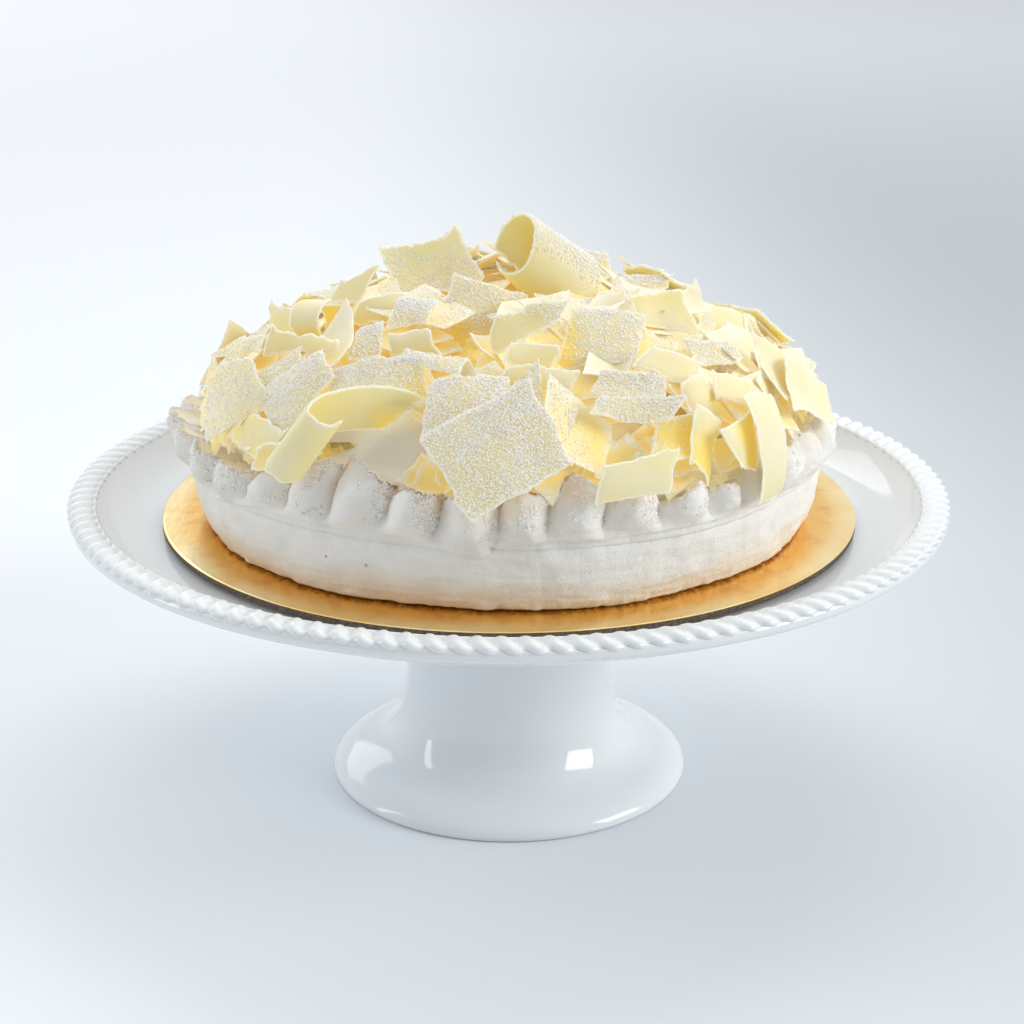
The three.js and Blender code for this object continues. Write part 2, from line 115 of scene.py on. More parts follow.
def noise(points: Array, size: float, seed: int, octaves: int = 1) -> Array:
    """Layered smooth noise, each layer twice as fine and half as strong as the last.

    Args:
        points: the places, an array whose last axis has 3 values.
        size: length of the coarsest waves, in the points' units.
        seed: picks another pattern.
        octaves: how many layers.

    Returns:
        Values of about -1 to 1 in the shape of points without its last axis.
    """
    flat = points.reshape(-1, 3) / size
    layers = [lattice_noise(flat * 2.0**n + 17.3 * n, seed + n) * 0.5**n for n in range(octaves)]
    return np.sum(layers, axis=0).reshape(points.shape[:-1])


def smoothstep(value: Array, low: float, high: float) -> Array:
    """0 below low, 1 above high, and 3t^2 - 2t^3 between them."""
    share = np.clip((value - low) / (high - low), 0, 1)
    return share * share * (3 - 2 * share)


# ------------------------------------------------------------------ places and directions


def polar(angle: Array, radius: Array, height: Array) -> Array:
    """Points at column angles in radians, radii and heights, as an array with a last axis of 3."""
    x, y, z = np.broadcast_arrays(radius * np.sin(angle), -radius * np.cos(angle), height)
    return np.stack([x, y, z], axis=-1)


def face_axes(angle: Array, lift: Array) -> tuple[Array, Array, Array]:
    """Unit vectors right, up and out of faces that look towards angle, lifted by lift, in degrees.

    Args:
        angle: the column angle that they look towards.
        lift: how far they look up.

    Returns:
        The three arrays of vectors.
    """
    a, e = np.radians(angle), np.radians(lift)
    out = np.stack([np.sin(a) * np.cos(e), -np.cos(a) * np.cos(e), np.sin(e)], axis=-1)
    right = np.stack([np.cos(a), np.sin(a), np.zeros_like(a)], axis=-1)
    return right, np.cross(out, right), out


def unit(vectors: Array) -> Array:
    """Vectors made one long."""
    return vectors / np.maximum(np.linalg.norm(vectors, axis=-1, keepdims=True), 1e-12)


def spanned(start: Array, *parts: tuple[Array, Array]) -> Array:
    """Points reached from start by going along each axis for its values."""
    for axis, values in parts:
        start = start + axis * values[..., None]
    return start


def ahead_and_aside(points: Array, start: Point, way: Array) -> tuple[Array, Array]:
    """How far points lie ahead of start along a unit vector, and how far beside that line.

    Args:
        points: the points.
        start: where the line starts.
        way: the unit vector.

    Returns:
        The two arrays of lengths.
    """
    away = points - np.array(start)
    ahead = away @ way
    return ahead, np.linalg.norm(away - ahead[:, None] * way, axis=1)


def round_again(values: Sequence[float], turn: float = 0) -> Array:
    """Values met on the way round, with the first one once more at the end, a turn larger."""
    return np.array([*values, values[0] + turn])


def spline(points: Sequence[tuple[float, float]], steps: int) -> Array:
    """A smooth line through points, with the given number of steps between two of them.

    Formula: the cubic of Catmull and Rom, whose slope at a point is that of the chord between
    its neighbours, scaled to the length of each piece so that uneven spacing doesn't overshoot.

    Args:
        points: the points, in order.
        steps: how many steps between two of them.

    Returns:
        The line's points, the last given one included.
    """
    p = np.array(points, float)
    length = np.linalg.norm(np.diff(p, axis=0), axis=1, keepdims=True)
    chord = np.diff(p, axis=0) / length
    before, after = np.vstack([chord[:1], chord]), np.vstack([chord, chord[-1:]])
    weight_before = np.vstack([length[:1], length])
    weight_after = np.vstack([length, length[-1:]])
    slope = (before * weight_after + after * weight_before) / (weight_before + weight_after)
    t = (np.arange(steps) / steps)[None, :, None]
    start, end = p[:-1, None], p[1:, None]
    m0, m1 = slope[:-1, None] * length[:, None], slope[1:, None] * length[:, None]
    curve = (
        (2 * t**3 - 3 * t**2 + 1) * start
        + (t**3 - 2 * t**2 + t) * m0
        + (3 * t**2 - 2 * t**3) * end
        + (t**3 - t**2) * m1
    )
    return np.vstack([curve.reshape(-1, p.shape[1]), p[-1:]])


# ------------------------------------------------------------------ skins and pieces


@dataclass
class Skin:
    """A surface being made: points in millimetres, faces, masks for its points, finish numbers."""

    points: Array
    faces: list[Array]
    masks: dict[str, Array] = field(default_factory=dict)
    finishes: Array | None = None

    def triangles(self) -> Array:
        """All faces as triangles."""
        parts = []
        for face in self.faces:
            parts.append(face[:, :3])
            if face.shape[1] == 4:
                parts.append(face[:, [0, 2, 3]])
        return np.vstack(parts)

    def normals(self) -> Array:
        """Unit normals at the points, the mean of the faces around each weighted by area."""
        corners = self.triangles()
        a, b, c = (self.points[corners[:, i]] for i in range(3))
        facing = np.cross(b - a, c - a)
        total = np.zeros_like(self.points)
        for i, axis in itertools.product(range(3), range(3)):
            total[:, axis] += np.bincount(corners[:, i], facing[:, axis], len(self.points))
        return unit(total)


def merge(skins: Sequence[Skin]) -> Skin:
    """Several skins as one, with the masks that the first one has.

    Args:
        skins: the skins, in order.

    Returns:
        The whole skin.
    """
    offsets = np.cumsum([0, *(len(s.points) for s in skins[:-1])])
    widths = sorted({f.shape[1] for s in skins for f in s.faces})
    faces = [
        np.vstack([f + o for s, o in zip(skins, offsets) for f in s.faces if f.shape[1] == width])
        for width in widths
    ]
    masks = {key: np.concatenate([s.masks[key] for s in skins]) for key in skins[0].masks}
    return Skin(np.vstack([s.points for s in skins]), faces, masks)


def grid_faces(rows: int, columns: int, close_rows: bool, close_columns: bool) -> Array:
    """Quads of a grid of points, wrapped round where a direction closes on itself.

    Args:
        rows: rows of points.
        columns: points in a row.
        close_rows: whether the last row joins the first.
        close_columns: whether the last column joins the first.

    Returns:
        An array of four point numbers for each quad.
    """
    i, j = np.meshgrid(
        np.arange(rows if close_rows else rows - 1),
        np.arange(columns if close_columns else columns - 1),
        indexing="ij",
    )
    i, j = i.ravel(), j.ravel()
    k, m = (i + 1) % rows, (j + 1) % columns
    return np.stack([i * columns + j, i * columns + m, k * columns + m, k * columns + j], axis=1)


def turned(radius: Array, height: Array, angle: Array) -> Skin:
    """A body turned round the Z axis, whose rows run down its outside and end on the axis.

    Args:
        radius: (rows, columns) or (rows, 1) radii.
        height: heights in the same shape.
        angle: the columns' angles in radians, going once round.

    Returns:
        A closed skin: the grid, and a fan of triangles at each end.
    """
    grid = polar(angle[None, :], radius, height)
    rows, columns = grid.shape[:2]
    top = [0, 0, float(np.mean(grid[0, :, 2]))]
    bottom = [0, 0, float(np.mean(grid[-1, :, 2]))]
    j = np.arange(columns)
    k = (j + 1) % columns
    last = (rows - 1) * columns
    pole = rows * columns
    fans = np.vstack([
        np.stack([np.full(columns, pole), j, k], axis=1),
        np.stack([np.full(columns, pole + 1), last + k, last + j], axis=1),
    ])
    quads = grid_faces(rows, columns, False, True)[:, ::-1]
    return Skin(np.vstack([grid.reshape(-1, 3), top, bottom]), [fans, quads])


def round_columns(count: int) -> Array:
    """Column angles that go once round, in radians."""
    return np.linspace(0, 2 * math.pi, count, endpoint=False)


def placed(name: str, data: bpy.types.ID) -> bpy.types.Object:
    """A new object in the scene, made of the given mesh, light or camera."""
    thing = bpy.data.objects.new(name, data)
    bpy.context.scene.collection.objects.link(thing)
    return thing


def make_piece(
    name: str,
    skin: Skin,
    finishes: Sequence[bpy.types.Material],
    stands_for: Sequence[str],
    crease: float = 180,
) -> bpy.types.Object:
    """Makes a finished piece that rides with the frame.

    Args:
        name: the piece's name.
        skin: its surface in millimetres.
        finishes: its materials; the skin's finish numbers choose among them.
        stands_for: CAD nodes that it replaces.
        crease: edges sharper than this many degrees stay sharp.

    Returns:
        The object.
    """
    mesh = bpy.data.meshes.new(name)
    corners = np.concatenate([f.ravel() for f in skin.faces])
    sizes = np.concatenate([np.full(len(f), f.shape[1]) for f in skin.faces])
    mesh.vertices.add(len(skin.points))
    mesh.vertices.foreach_set("co", (skin.points * MM).astype(np.float32).ravel())
    mesh.loops.add(len(corners))
    mesh.loops.foreach_set("vertex_index", corners.astype(np.int32))
    mesh.polygons.add(len(sizes))
    mesh.polygons.foreach_set("loop_start", (np.cumsum(sizes) - sizes).astype(np.int32))
    mesh.polygons.foreach_set("use_smooth", np.ones(len(sizes), bool))
    for finish in finishes:
        mesh.materials.append(finish)
    if skin.finishes is not None:
        mesh.polygons.foreach_set("material_index", skin.finishes.astype(np.int32))
    mesh.update(calc_edges=True)
    for key, values in skin.masks.items():
        kind, part = ("FLOAT_VECTOR", "vector") if values.ndim == 2 else ("FLOAT", "value")
        attribute = mesh.attributes.new(key, kind, "POINT")
        attribute.data.foreach_set(part, values.astype(np.float32).ravel())
    if crease < 180:
        mesh.set_sharp_from_angle(angle=math.radians(crease))
    piece = placed(name, mesh)
    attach(piece, BODY)
    if stands_for:
        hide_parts(*stands_for)
    LOG.info("%s: %d points, %d faces", name, len(skin.points), len(sizes))
    return piece


# ------------------------------------------------------------------ building materials


class Graph:
    """Short calls for laying out the nodes of a material or of a shared group."""

    def __init__(self, tree: bpy.types.NodeTree) -> None:
        """Starts on an empty node tree."""
        self.tree = tree
        tree.nodes.clear()

    def add(
        self,
        kind: str,
        inputs: dict[str | int, object] | None = None,
        **settings: object,
    ) -> bpy.types.Node:
        """Adds a node.

        Args:
            kind: the node's type.
            inputs: for each input, a value or the socket that feeds it.
            settings: the node's own options.

        Returns:
            The node.
        """
        node = self.tree.nodes.new(kind)
        for key, value in settings.items():
            setattr(node, key, value)
        self.feed(node, inputs or {})
        return node

    def feed(self, node: bpy.types.Node, inputs: dict[str | int, object]) -> None:
        """Sets inputs of a node, each to a value or to the socket that is linked into it."""
        for key, value in inputs.items():
            if isinstance(value, bpy.types.NodeSocket):
                self.tree.links.new(value, node.inputs[key])
            else:
                node.inputs[key].default_value = value

    def place(self) -> Socket:
        """The point in the piece's own coordinates, in metres."""
        return self.add("ShaderNodeTexCoord").outputs["Object"]

    def stretched(self, place: Socket, scale: Point) -> Socket:
        """Coordinates scaled by a factor for each axis."""
        return self.add("ShaderNodeMapping", {"Vector": place, "Scale": scale}).outputs[0]

    def mask(self, name: str) -> Socket:
        """A mask of the piece's points."""
        return self.add("ShaderNodeAttribute", attribute_name=name).outputs["Fac"]

    def grain(self, place: Socket, size: float, detail: float = 2, roughness: float = 0.5) -> Socket:
        """Noise from 0 to 1 whose waves are about size millimetres long."""
        inputs = {"Vector": place, "Scale": 1 / (size * MM), "Detail": detail, "Roughness": roughness}
        return self.add("ShaderNodeTexNoise", inputs).outputs[0]

    def band(self, value: Socket, low: float, high: float, start: float = 0, end: float = 1) -> Socket:
        """Smoothly start at low and end at high."""
        inputs = {"Value": value, "From Min": low, "From Max": high, "To Min": start, "To Max": end}
        return self.add("ShaderNodeMapRange", inputs, interpolation_type="SMOOTHSTEP").outputs[0]

    def math(self, operation: str, first: object, second: object = 0.0) -> Socket:
        """A sum of two values, in the words of the Math node."""
        return self.add("ShaderNodeMath", {0: first, 1: second}, operation=operation).outputs[0]

    def product(self, first: object, second: object) -> Socket:
        """Two values multiplied."""
        return self.math("MULTIPLY", first, second)

    def along(self, way: Socket, direction: Point) -> Socket:
        """How far a place or a way goes in a direction."""
        node = self.add("ShaderNodeVectorMath", {0: way, 1: direction}, operation="DOT_PRODUCT")
        return node.outputs["Value"]

    def mix(self, share: object, first: object, second: object) -> Socket:
        """first where share is 0, second where it is 1, as colours."""
        node = self.add("ShaderNodeMix", {0: share, 6: first, 7: second}, data_type="RGBA")
        return node.outputs[2]

    def bump(self, height: Socket, depth: float, normal: Socket | None = None) -> Socket:
        """A normal bent by a height from 0 to 1 that stands for depth millimetres.

        Args:
            height: the height.
            depth: the millimetres.
            normal: a normal that is bent already.

        Returns:
            The bent normal.
        """
        node = self.add("ShaderNodeBump", {"Height": height, "Distance": depth * MM, "Strength": 1})
        if normal is not None:
            self.feed(node, {"Normal": normal})
        return node.outputs[0]

    def cells(self, place: Socket, scale: object) -> bpy.types.Node:
        """A cell pattern, with the distance from each cell's middle and a random colour."""
        return self.add("ShaderNodeTexVoronoi", {"Vector": place, "Scale": scale})

    def chosen(self, cells: bpy.types.Node, part: int, share: object) -> Socket:
        """1 in a share of the cells, drawn by one part of their colour, and 0 in the others."""
        chance = self.add("ShaderNodeSeparateColor", {0: cells.outputs["Color"]}).outputs[part]
        return self.math("LESS_THAN", chance, share)

    def use(self, group: bpy.types.NodeTree, **inputs: object) -> bpy.types.Node:
        """Places a shared group with its own values."""
        return self.add("ShaderNodeGroup", inputs, node_tree=group)


def shared_group(
    name: str,
    inputs: dict[str, float],
    outputs: Sequence[str],
) -> tuple[Graph, bpy.types.Node, bpy.types.Node]:
    """Starts a shared group of values.

    Args:
        name: the group's name.
        inputs: its inputs with their usual values.
        outputs: names of its outputs.

    Returns:
        The graph, the node whose outputs are the group's inputs, and the node it ends in.
    """
    tree = bpy.data.node_groups.new(name, "ShaderNodeTree")
    graph = Graph(tree)
    for key, value in inputs.items():
        socket = tree.interface.new_socket(key, in_out="INPUT", socket_type="NodeSocketFloat")
        socket.default_value = value
    for key in outputs:
        tree.interface.new_socket(key, in_out="OUTPUT", socket_type="NodeSocketFloat")
    return graph, graph.add("NodeGroupInput"), graph.add("NodeGroupOutput")


def sugar_film_group() -> bpy.types.NodeTree:
    """Crystals finer than the loose ones: a mask of where they lie and their height.

    Each cell of a cell pattern holds one crystal if its random number is under Amount.

    Returns:
        The shared group.
    """
    graph, given, result = shared_group("sugar_film", {"Amount": 0.5, "Size": 0.7}, ["Mask", "Height"])
    cells = graph.cells(graph.place(), graph.math("DIVIDE", 1 / MM, given.outputs["Size"]))
    present = graph.chosen(cells, 0, given.outputs["Amount"])
    crystal = graph.product(present, graph.band(cells.outputs["Distance"], 0.25, 0.62, 1, 0))
    graph.feed(result, {"Mask": crystal, "Height": crystal})
    return graph.tree


def powder_group() -> bpy.types.NodeTree:
    """The dry skin of meringue: grain at two scales, and small pits where bubbles broke.

    Returns:
        The shared group.
    """
    graph, given, result = shared_group("dry_powder", {"Size": 0.9, "Pits": 0.1}, ["Height", "Pit"])
    place = graph.place()
    scale = graph.math("DIVIDE", 1 / MM, given.outputs["Size"])
    waves = {"Vector": place, "Scale": scale, "Detail": 3.0, "Roughness": 0.65}
    fine = graph.add("ShaderNodeTexNoise", waves).outputs[0]
    bubbles = graph.cells(place, 1 / (3.4 * MM))
    present = graph.chosen(bubbles, 1, given.outputs["Pits"])
    pit = graph.product(present, graph.band(bubbles.outputs["Distance"], 0.08, 0.2, 1, 0))
    height = graph.math("SUBTRACT", fine, graph.product(pit, 3.0))
    graph.feed(result, {"Height": height, "Pit": pit})
    return graph.tree


@dataclass(frozen=True)
class Gloss:
    """What is the same all over a finish's surface, set on the shader itself."""

    roughness: float = 0.5
    metallic: float = 0.0
    specular: float = 0.5
    ior: float = 1.5
    coat: float = 0.0
    depth: float = 0.0  # how strongly light wanders below the surface
    reach: Point = (1.0, 0.7, 0.4)  # how far each colour wanders, in millimetres
    glow: float = 0.0  # strength of a painted glow (emission) that stands in for light passed on from neighbours


def shaded(name: str, gloss: Gloss) -> tuple[bpy.types.Material, Graph, bpy.types.Node]:
    """Starts a material.

    Args:
        name: the material's name.
        gloss: its even values.

    Returns:
        The material, its graph and its shader node.
    """
    material = bpy.data.materials.new(name)
    material.use_nodes = True
    graph = Graph(material.node_tree)
    shader = graph.add("ShaderNodeBsdfPrincipled", {
        "Roughness": gloss.roughness,
        "Metallic": gloss.metallic,
        "Specular IOR Level": gloss.specular,
        "IOR": gloss.ior,
        "Coat Weight": gloss.coat,
        "Subsurface Weight": gloss.depth,
        "Subsurface Radius": gloss.reach,
        "Subsurface Scale": MM,
        "Emission Strength": gloss.glow,
    })
    graph.add("ShaderNodeOutputMaterial", {"Surface": shader.outputs[0]})
    return material, graph, shader


def rgb(red: float, green: float, blue: float) -> Colour:
    """A linear colour from screen values of 0 to 255.

    Formula: ((v + 0.055) / 1.055)^2.4, the screen's own curve for all but the darkest values.
    """
    return (*(((v / 255 + 0.055) / 1.055) ** 2.4 for v in (red, green, blue)), 1.0)


class Finish:
    """A finish of the cake or its stand: its name, its gloss, and the looks that its nodes give."""

    name: str
    gloss: Gloss

    def looks(self, graph: Graph) -> dict[str, object]:
        """Lays out the finish's own nodes.

        Args:
            graph: the material's graph.

        Returns:
            What feeds the shader's inputs, by their names.
        """
        raise NotImplementedError

    def material(self) -> bpy.types.Material:
        """Builds the material."""
        material, graph, shader = shaded(self.name, self.gloss)
        graph.feed(shader, self.looks(graph))
        return material


@dataclass(frozen=True)
class Glaze(Finish):
    """White glaze over ceramic: very glossy, with a faint waviness and a few dark specks."""

    name: str = "stand_glaze"
    white: Colour = rgb(236, 240, 242)
    cool: Colour = rgb(229, 234, 237)
    speck: Colour = rgb(120, 116, 112)
    gloss: Gloss = Gloss(roughness=0.07, specular=0.55)

    def looks(self, graph: Graph) -> dict[str, object]:
        """Waves in the glaze, and specks."""
        place = graph.place()
        colour = graph.mix(graph.grain(place, 40), self.white, self.cool)
        cells = graph.cells(place, 1 / (26 * MM))
        speck = graph.band(cells.outputs["Distance"], 0.012, 0.02, 1, 0)
        return {
            "Base Color": graph.mix(speck, colour, self.speck),
            "Roughness": graph.band(graph.grain(place, 9), 0.3, 0.7, 0.05, 0.1),
            "Normal": graph.bump(graph.grain(place, 14), 0.12),
        }


@dataclass(frozen=True)
class Foil(Finish):
    """Gold foil on card under a clear film: fine rolling streaks, small dents and smudges, and deep gold
    near the cake, a painted reflection of the cake's shaded wall.
    """

    name: str = "gold_foil"
    gold: Colour = rgb(254, 232, 172)
    # deep: the blotches' colour, and the painted reflection of the cake's shaded wall near the cake
    deep: Colour = rgb(246, 190, 78)
    smudge: Colour = rgb(214, 142, 52)
    gloss: Gloss = Gloss(roughness=0.2, metallic=0.8, coat=0.12)

    def looks(self, graph: Graph) -> dict[str, object]:
        """Streaks, blotches and smudges. The mask near is how close to the cake a point lies; there the
        foil gets the painted reflection in deep gold, and the smudges.
        """
        place, near = graph.place(), graph.mask("near")
        streaks = graph.grain(graph.stretched(place, (1.0, 0.06, 1.0)), 1.1, 4, 0.65)
        blotches = graph.band(graph.grain(place, 26, 2, 0.5), 0.35, 0.65, 0.0, 0.45)
        # Painted reflection: deep gold near the cake for the cake's shaded wall.
        colour = graph.mix(near, graph.mix(blotches, self.gold, self.deep), self.deep)
        wiped = graph.product(near, graph.band(graph.grain(place, 9, 3, 0.6), 0.52, 0.64, 0, 0.4))
        dents = graph.bump(graph.grain(place, 8, 2), 0.1)
        return {
            "Base Color": graph.mix(wiped, colour, self.smudge),
            "Roughness": graph.band(streaks, 0.3, 0.75, 0.15, 0.25),
            "Coat Roughness": 0.12,
            "Normal": graph.bump(streaks, 0.05, dents),
        }


@dataclass(frozen=True)
class CardEdge(Finish):
    """The cut edge of grey board, speckled with darker and lighter fibres."""

    name: str = "card_edge"
    dark: Colour = rgb(66, 54, 44)
    light: Colour = rgb(128, 112, 96)
    gloss: Gloss = Gloss(roughness=0.9)

    def looks(self, graph: Graph) -> dict[str, object]:
        """Fibres."""
        fibres = graph.grain(graph.place(), 0.7, 4, 0.75)
        return {
            "Base Color": graph.mix(graph.band(fibres, 0.35, 0.65), self.dark, self.light),
            "Normal": graph.bump(fibres, 0.25),
        }


@dataclass(frozen=True)
class Meringue(Finish):
    """Dry baked meringue: matt white, browned by toasting and by painted shade where its masks say, with
    grain, pits and smears.
    """

    name: str
    powder: bpy.types.NodeTree
    film: bpy.types.NodeTree
    white: Colour = rgb(246, 245, 242)
    shade: Colour = rgb(238, 236, 232)
    # peach: painted warm shade, and the gold board's painted reflected light
    peach: Colour = rgb(238, 212, 182)
    # brown: toasting, and painted shade
    brown: Colour = rgb(150, 104, 70)
    crystal: Colour = rgb(250, 250, 249)
    # lit: the colour of a painted glow
    lit: Colour = rgb(246, 242, 236)
    smear: float = 0.0
    gloss: Gloss = Gloss(roughness=0.82, specular=0.25, glow=0.07)

    def looks(self, graph: Graph) -> dict[str, object]:
        """Grain, pits, smears and crystals.

        The masks are warm, for the peach tint, which is painted warm shade in the creases and the
        gold board's painted reflected light low on the wall; the brown mask, for toasting and painted
        shade; and deep, for a painted glow (emission) that stands in for light coming through from
        outside.
        """
        place = graph.place()
        grain = graph.use(self.powder, Size=0.8, Pits=0.03)
        film = graph.use(self.film, Amount=graph.product(graph.mask("dust"), 0.3), Size=0.55)
        cloud = graph.grain(place, 11, 3, 0.6)
        bands = graph.grain(graph.stretched(place, (0.12, 0.12, 1.0)), 1.6, 3, 0.6)
        warm = graph.product(graph.mask("warm"), graph.band(cloud, 0.15, 0.6, 0.55, 1.1))
        scorch = graph.band(graph.grain(place, 2.2, 3, 0.7), 0.35, 0.62)
        colour = graph.mix(graph.band(cloud, 0.3, 0.75), self.white, self.shade)
        # Painted light: the peach tint stands for warm shade and the gold board's reflected light.
        colour = graph.mix(warm, colour, self.peach)
        # Brown: toasting, and painted shade in the creases, on the left petals' tops and in the burst
        # bubble.
        colour = graph.mix(graph.product(graph.mask("toast_and_shade"), scorch), colour, self.brown)
        # Painted shade: the pits are darkened a little towards brown.
        colour = graph.mix(graph.product(grain.outputs["Pit"], 0.15), colour, self.brown)
        normal = graph.bump(bands, 0.35 * self.smear)
        normal = graph.bump(grain.outputs["Height"], 0.3, normal)
        # Painted glow (emission) where the mask deep says.
        return {
            "Base Color": graph.mix(film.outputs["Mask"], colour, self.crystal),
            "Emission Color": graph.mix(graph.mask("deep"), BLACK, self.lit),
            "Normal": graph.bump(film.outputs["Height"], 0.4, normal),
        }


@dataclass(frozen=True)
class Cream(Finish):
    """Whipped cream filling: smooth, faintly yellow, a little moist, with a painted glow low down."""

    name: str = "cream"
    white: Colour = rgb(240, 236, 224)
    yellow: Colour = rgb(240, 225, 176)
    # lit: the colour of a painted glow
    lit: Colour = rgb(250, 236, 196)
    gloss: Gloss = Gloss(roughness=0.5, specular=0.4, depth=0.4, reach=(3.0, 2.2, 1.2), glow=0.1)

    def looks(self, graph: Graph) -> dict[str, object]:
        """Smears. The mask warm makes it yellower, the mask deep paints a glow (emission) low down."""
        place = graph.place()
        clouds = graph.band(graph.grain(place, 9, 3), 0.4, 0.8, -0.1, 0.25)
        share = graph.math("ADD", graph.mask("warm"), clouds)
        smears = graph.grain(place, 2.4, 4, 0.6)
        return {
            "Base Color": graph.mix(share, self.white, self.yellow),
            "Emission Color": graph.mix(graph.mask("deep"), BLACK, self.lit),
            "Roughness": graph.band(smears, 0.3, 0.7, 0.4, 0.62),
            "Normal": graph.bump(smears, 0.35),
        }


@dataclass(frozen=True)
class Chocolate(Finish):
    """White chocolate shaved into sheets: pale waxy faces, torn edges frosted white with a painted glow,
    painted golden shade and glow deep in the heap, sugar film.
    """

    film: bpy.types.NodeTree
    name: str = "white_chocolate"
    pale: Colour = rgb(243, 235, 204)
    yellow: Colour = rgb(242, 230, 188)
    # The next two colours are painted: golden shade deep in the heap, and its glow.
    amber: Colour = rgb(242, 214, 122)
    glow_gold: Colour = rgb(247, 220, 126)
    # The torn edges' paler colour, and the colour of their painted glow.
    frost_and_edge_glow: Colour = rgb(252, 248, 226)
    sugar: Colour = rgb(254, 254, 252)
    gloss: Gloss = Gloss(roughness=0.42, specular=0.3, depth=0.85, reach=(3.2, 2.8, 1.8), glow=0.14)

    def looks(self, graph: Graph) -> dict[str, object]:
        """Shaved faces, torn edges and crystals.

        The masks are deep, for painted golden shade and a painted glow that stand in for light
        wandering through the heap, edge, at the torn edges, dust, for the sugar, and flat, the point
        on the sheet as it was shaved, along and across in metres, which carries the blade's lines.
        """
        place, deep, dust = graph.place(), graph.mask("deep"), graph.mask("dust")
        edge = graph.math("POWER", graph.mask("edge"), 3.0)
        torn = graph.product(edge, graph.band(graph.grain(place, 0.9, 3, 0.7), 0.2, 0.55))
        colour = graph.mix(graph.band(graph.grain(place, 14, 2), 0.3, 0.7), self.yellow, self.pale)
        # Painted shade: amber where the mask deep says; the torn edges get the frost colour.
        colour = graph.mix(torn, graph.mix(deep, colour, self.amber), self.frost_and_edge_glow)
        # Painted glow: a golden emission that grows with the mask deep.
        lit = graph.mix(graph.product(deep, deep), BLACK, self.glow_gold)
        film = graph.use(self.film, Amount=graph.product(graph.product(dust, dust), 0.75), Size=0.5)
        flat = graph.add("ShaderNodeAttribute", attribute_name="flat").outputs["Vector"]
        lines = graph.grain(graph.stretched(flat, (0.05, 1.0, 1.0)), 1.1, 3, 0.6)
        shaved = graph.band(lines, 0.3, 0.7, 0.36, 0.46)
        rough = graph.math("ADD", graph.product(torn, 0.35), shaved)
        normal = graph.bump(graph.product(torn, graph.grain(place, 0.5, 2)), 0.5, graph.bump(lines, 0.05))
        # Painted glow: the torn edges glow in the frost colour.
        return {
            "Base Color": graph.mix(film.outputs["Mask"], colour, self.sugar),
            "Emission Color": graph.mix(torn, lit, self.frost_and_edge_glow),
            "Roughness": graph.math("MAXIMUM", rough, film.outputs["Mask"]),
            "Normal": graph.bump(film.outputs["Height"], 0.25, normal),
        }


@dataclass(frozen=True)
class SmallChocolate(Chocolate):
    """The same chocolate in the small shavings, which cross each other, so no light wanders in them; they
    keep the painted golden shade and glow.
    """

    name: str = "small_chocolate"
    yellow: Colour = rgb(244, 234, 196)
    pale: Colour = rgb(246, 240, 214)
    # Painted golden shade, paler than in the large shavings.
    amber: Colour = rgb(244, 222, 144)
    gloss: Gloss = Gloss(roughness=0.42, specular=0.3, glow=0.16)


@dataclass(frozen=True)
class Sugar(Finish):
    """Coarse sugar crystals: bright white, with a painted glow (emission)."""

    name: str = "sugar"
    white: Colour = rgb(253, 252, 250)
    shade: Colour = rgb(244, 243, 240)
    # The colour of a painted glow.
    glow_white: Colour = rgb(255, 252, 246)
    gloss: Gloss = Gloss(roughness=0.4, specular=0.5, glow=0.15)

    def looks(self, graph: Graph) -> dict[str, object]:
        """Even white with a darker tone at random, and a painted glow."""
        share = graph.grain(graph.place(), 6, 2)
        return {
            "Base Color": graph.mix(share, self.white, self.shade),
            "Emission Color": self.glow_white,
        }


@dataclass(frozen=True)
class HeapCore(Finish):
    """What shows deep between the shavings: packed crumbs of chocolate, painted gold for the heap's
    shade, with a painted glow.
    """

    name: str = "heap_core"
    # These colours are painted: the golden shade of the heap's depths, and the colour of its glow.
    gold: Colour = rgb(234, 204, 104)
    pale: Colour = rgb(244, 226, 158)
    glow_gold: Colour = rgb(240, 205, 110)
    gloss: Gloss = Gloss(roughness=0.6, specular=0.3, depth=0.3, reach=(2.5, 1.8, 0.9), glow=0.2)

    def looks(self, graph: Graph) -> dict[str, object]:
        """Lumps."""
        lumps = graph.grain(graph.place(), 4, 4, 0.65)
        # Painted glow all over.
        return {
            "Base Color": graph.mix(graph.band(lumps, 0.35, 0.7), self.gold, self.pale),
            "Emission Color": self.glow_gold,
            "Normal": graph.bump(lumps, 1.2),
        }


@dataclass(frozen=True)
class Finishes:
    """All the cake's materials, built once."""

    glaze: bpy.types.Material
    foil: bpy.types.Material
    card: bpy.types.Material
    wall: bpy.types.Material
    petals: bpy.types.Material
    cream: bpy.types.Material
    chocolate: bpy.types.Material
    crumbs: bpy.types.Material
    core: bpy.types.Material
    sugar: bpy.types.Material

    @classmethod
    def build(cls) -> Finishes:
        """Builds the shared groups and then every material."""
        film, powder = sugar_film_group(), powder_group()
        return cls(
            glaze=Glaze().material(),
            foil=Foil().material(),
            card=CardEdge().material(),
            wall=Meringue("meringue_wall", powder, film, smear=0.7).material(),
            petals=Meringue("meringue_petals", powder, film, smear=0.25).material(),
            cream=Cream().material(),
            chocolate=Chocolate(film).material(),
            crumbs=SmallChocolate(film).material(),
            core=HeapCore().material(),
            sugar=Sugar().material(),
        )


# ------------------------------------------------------------------ the stand and the board


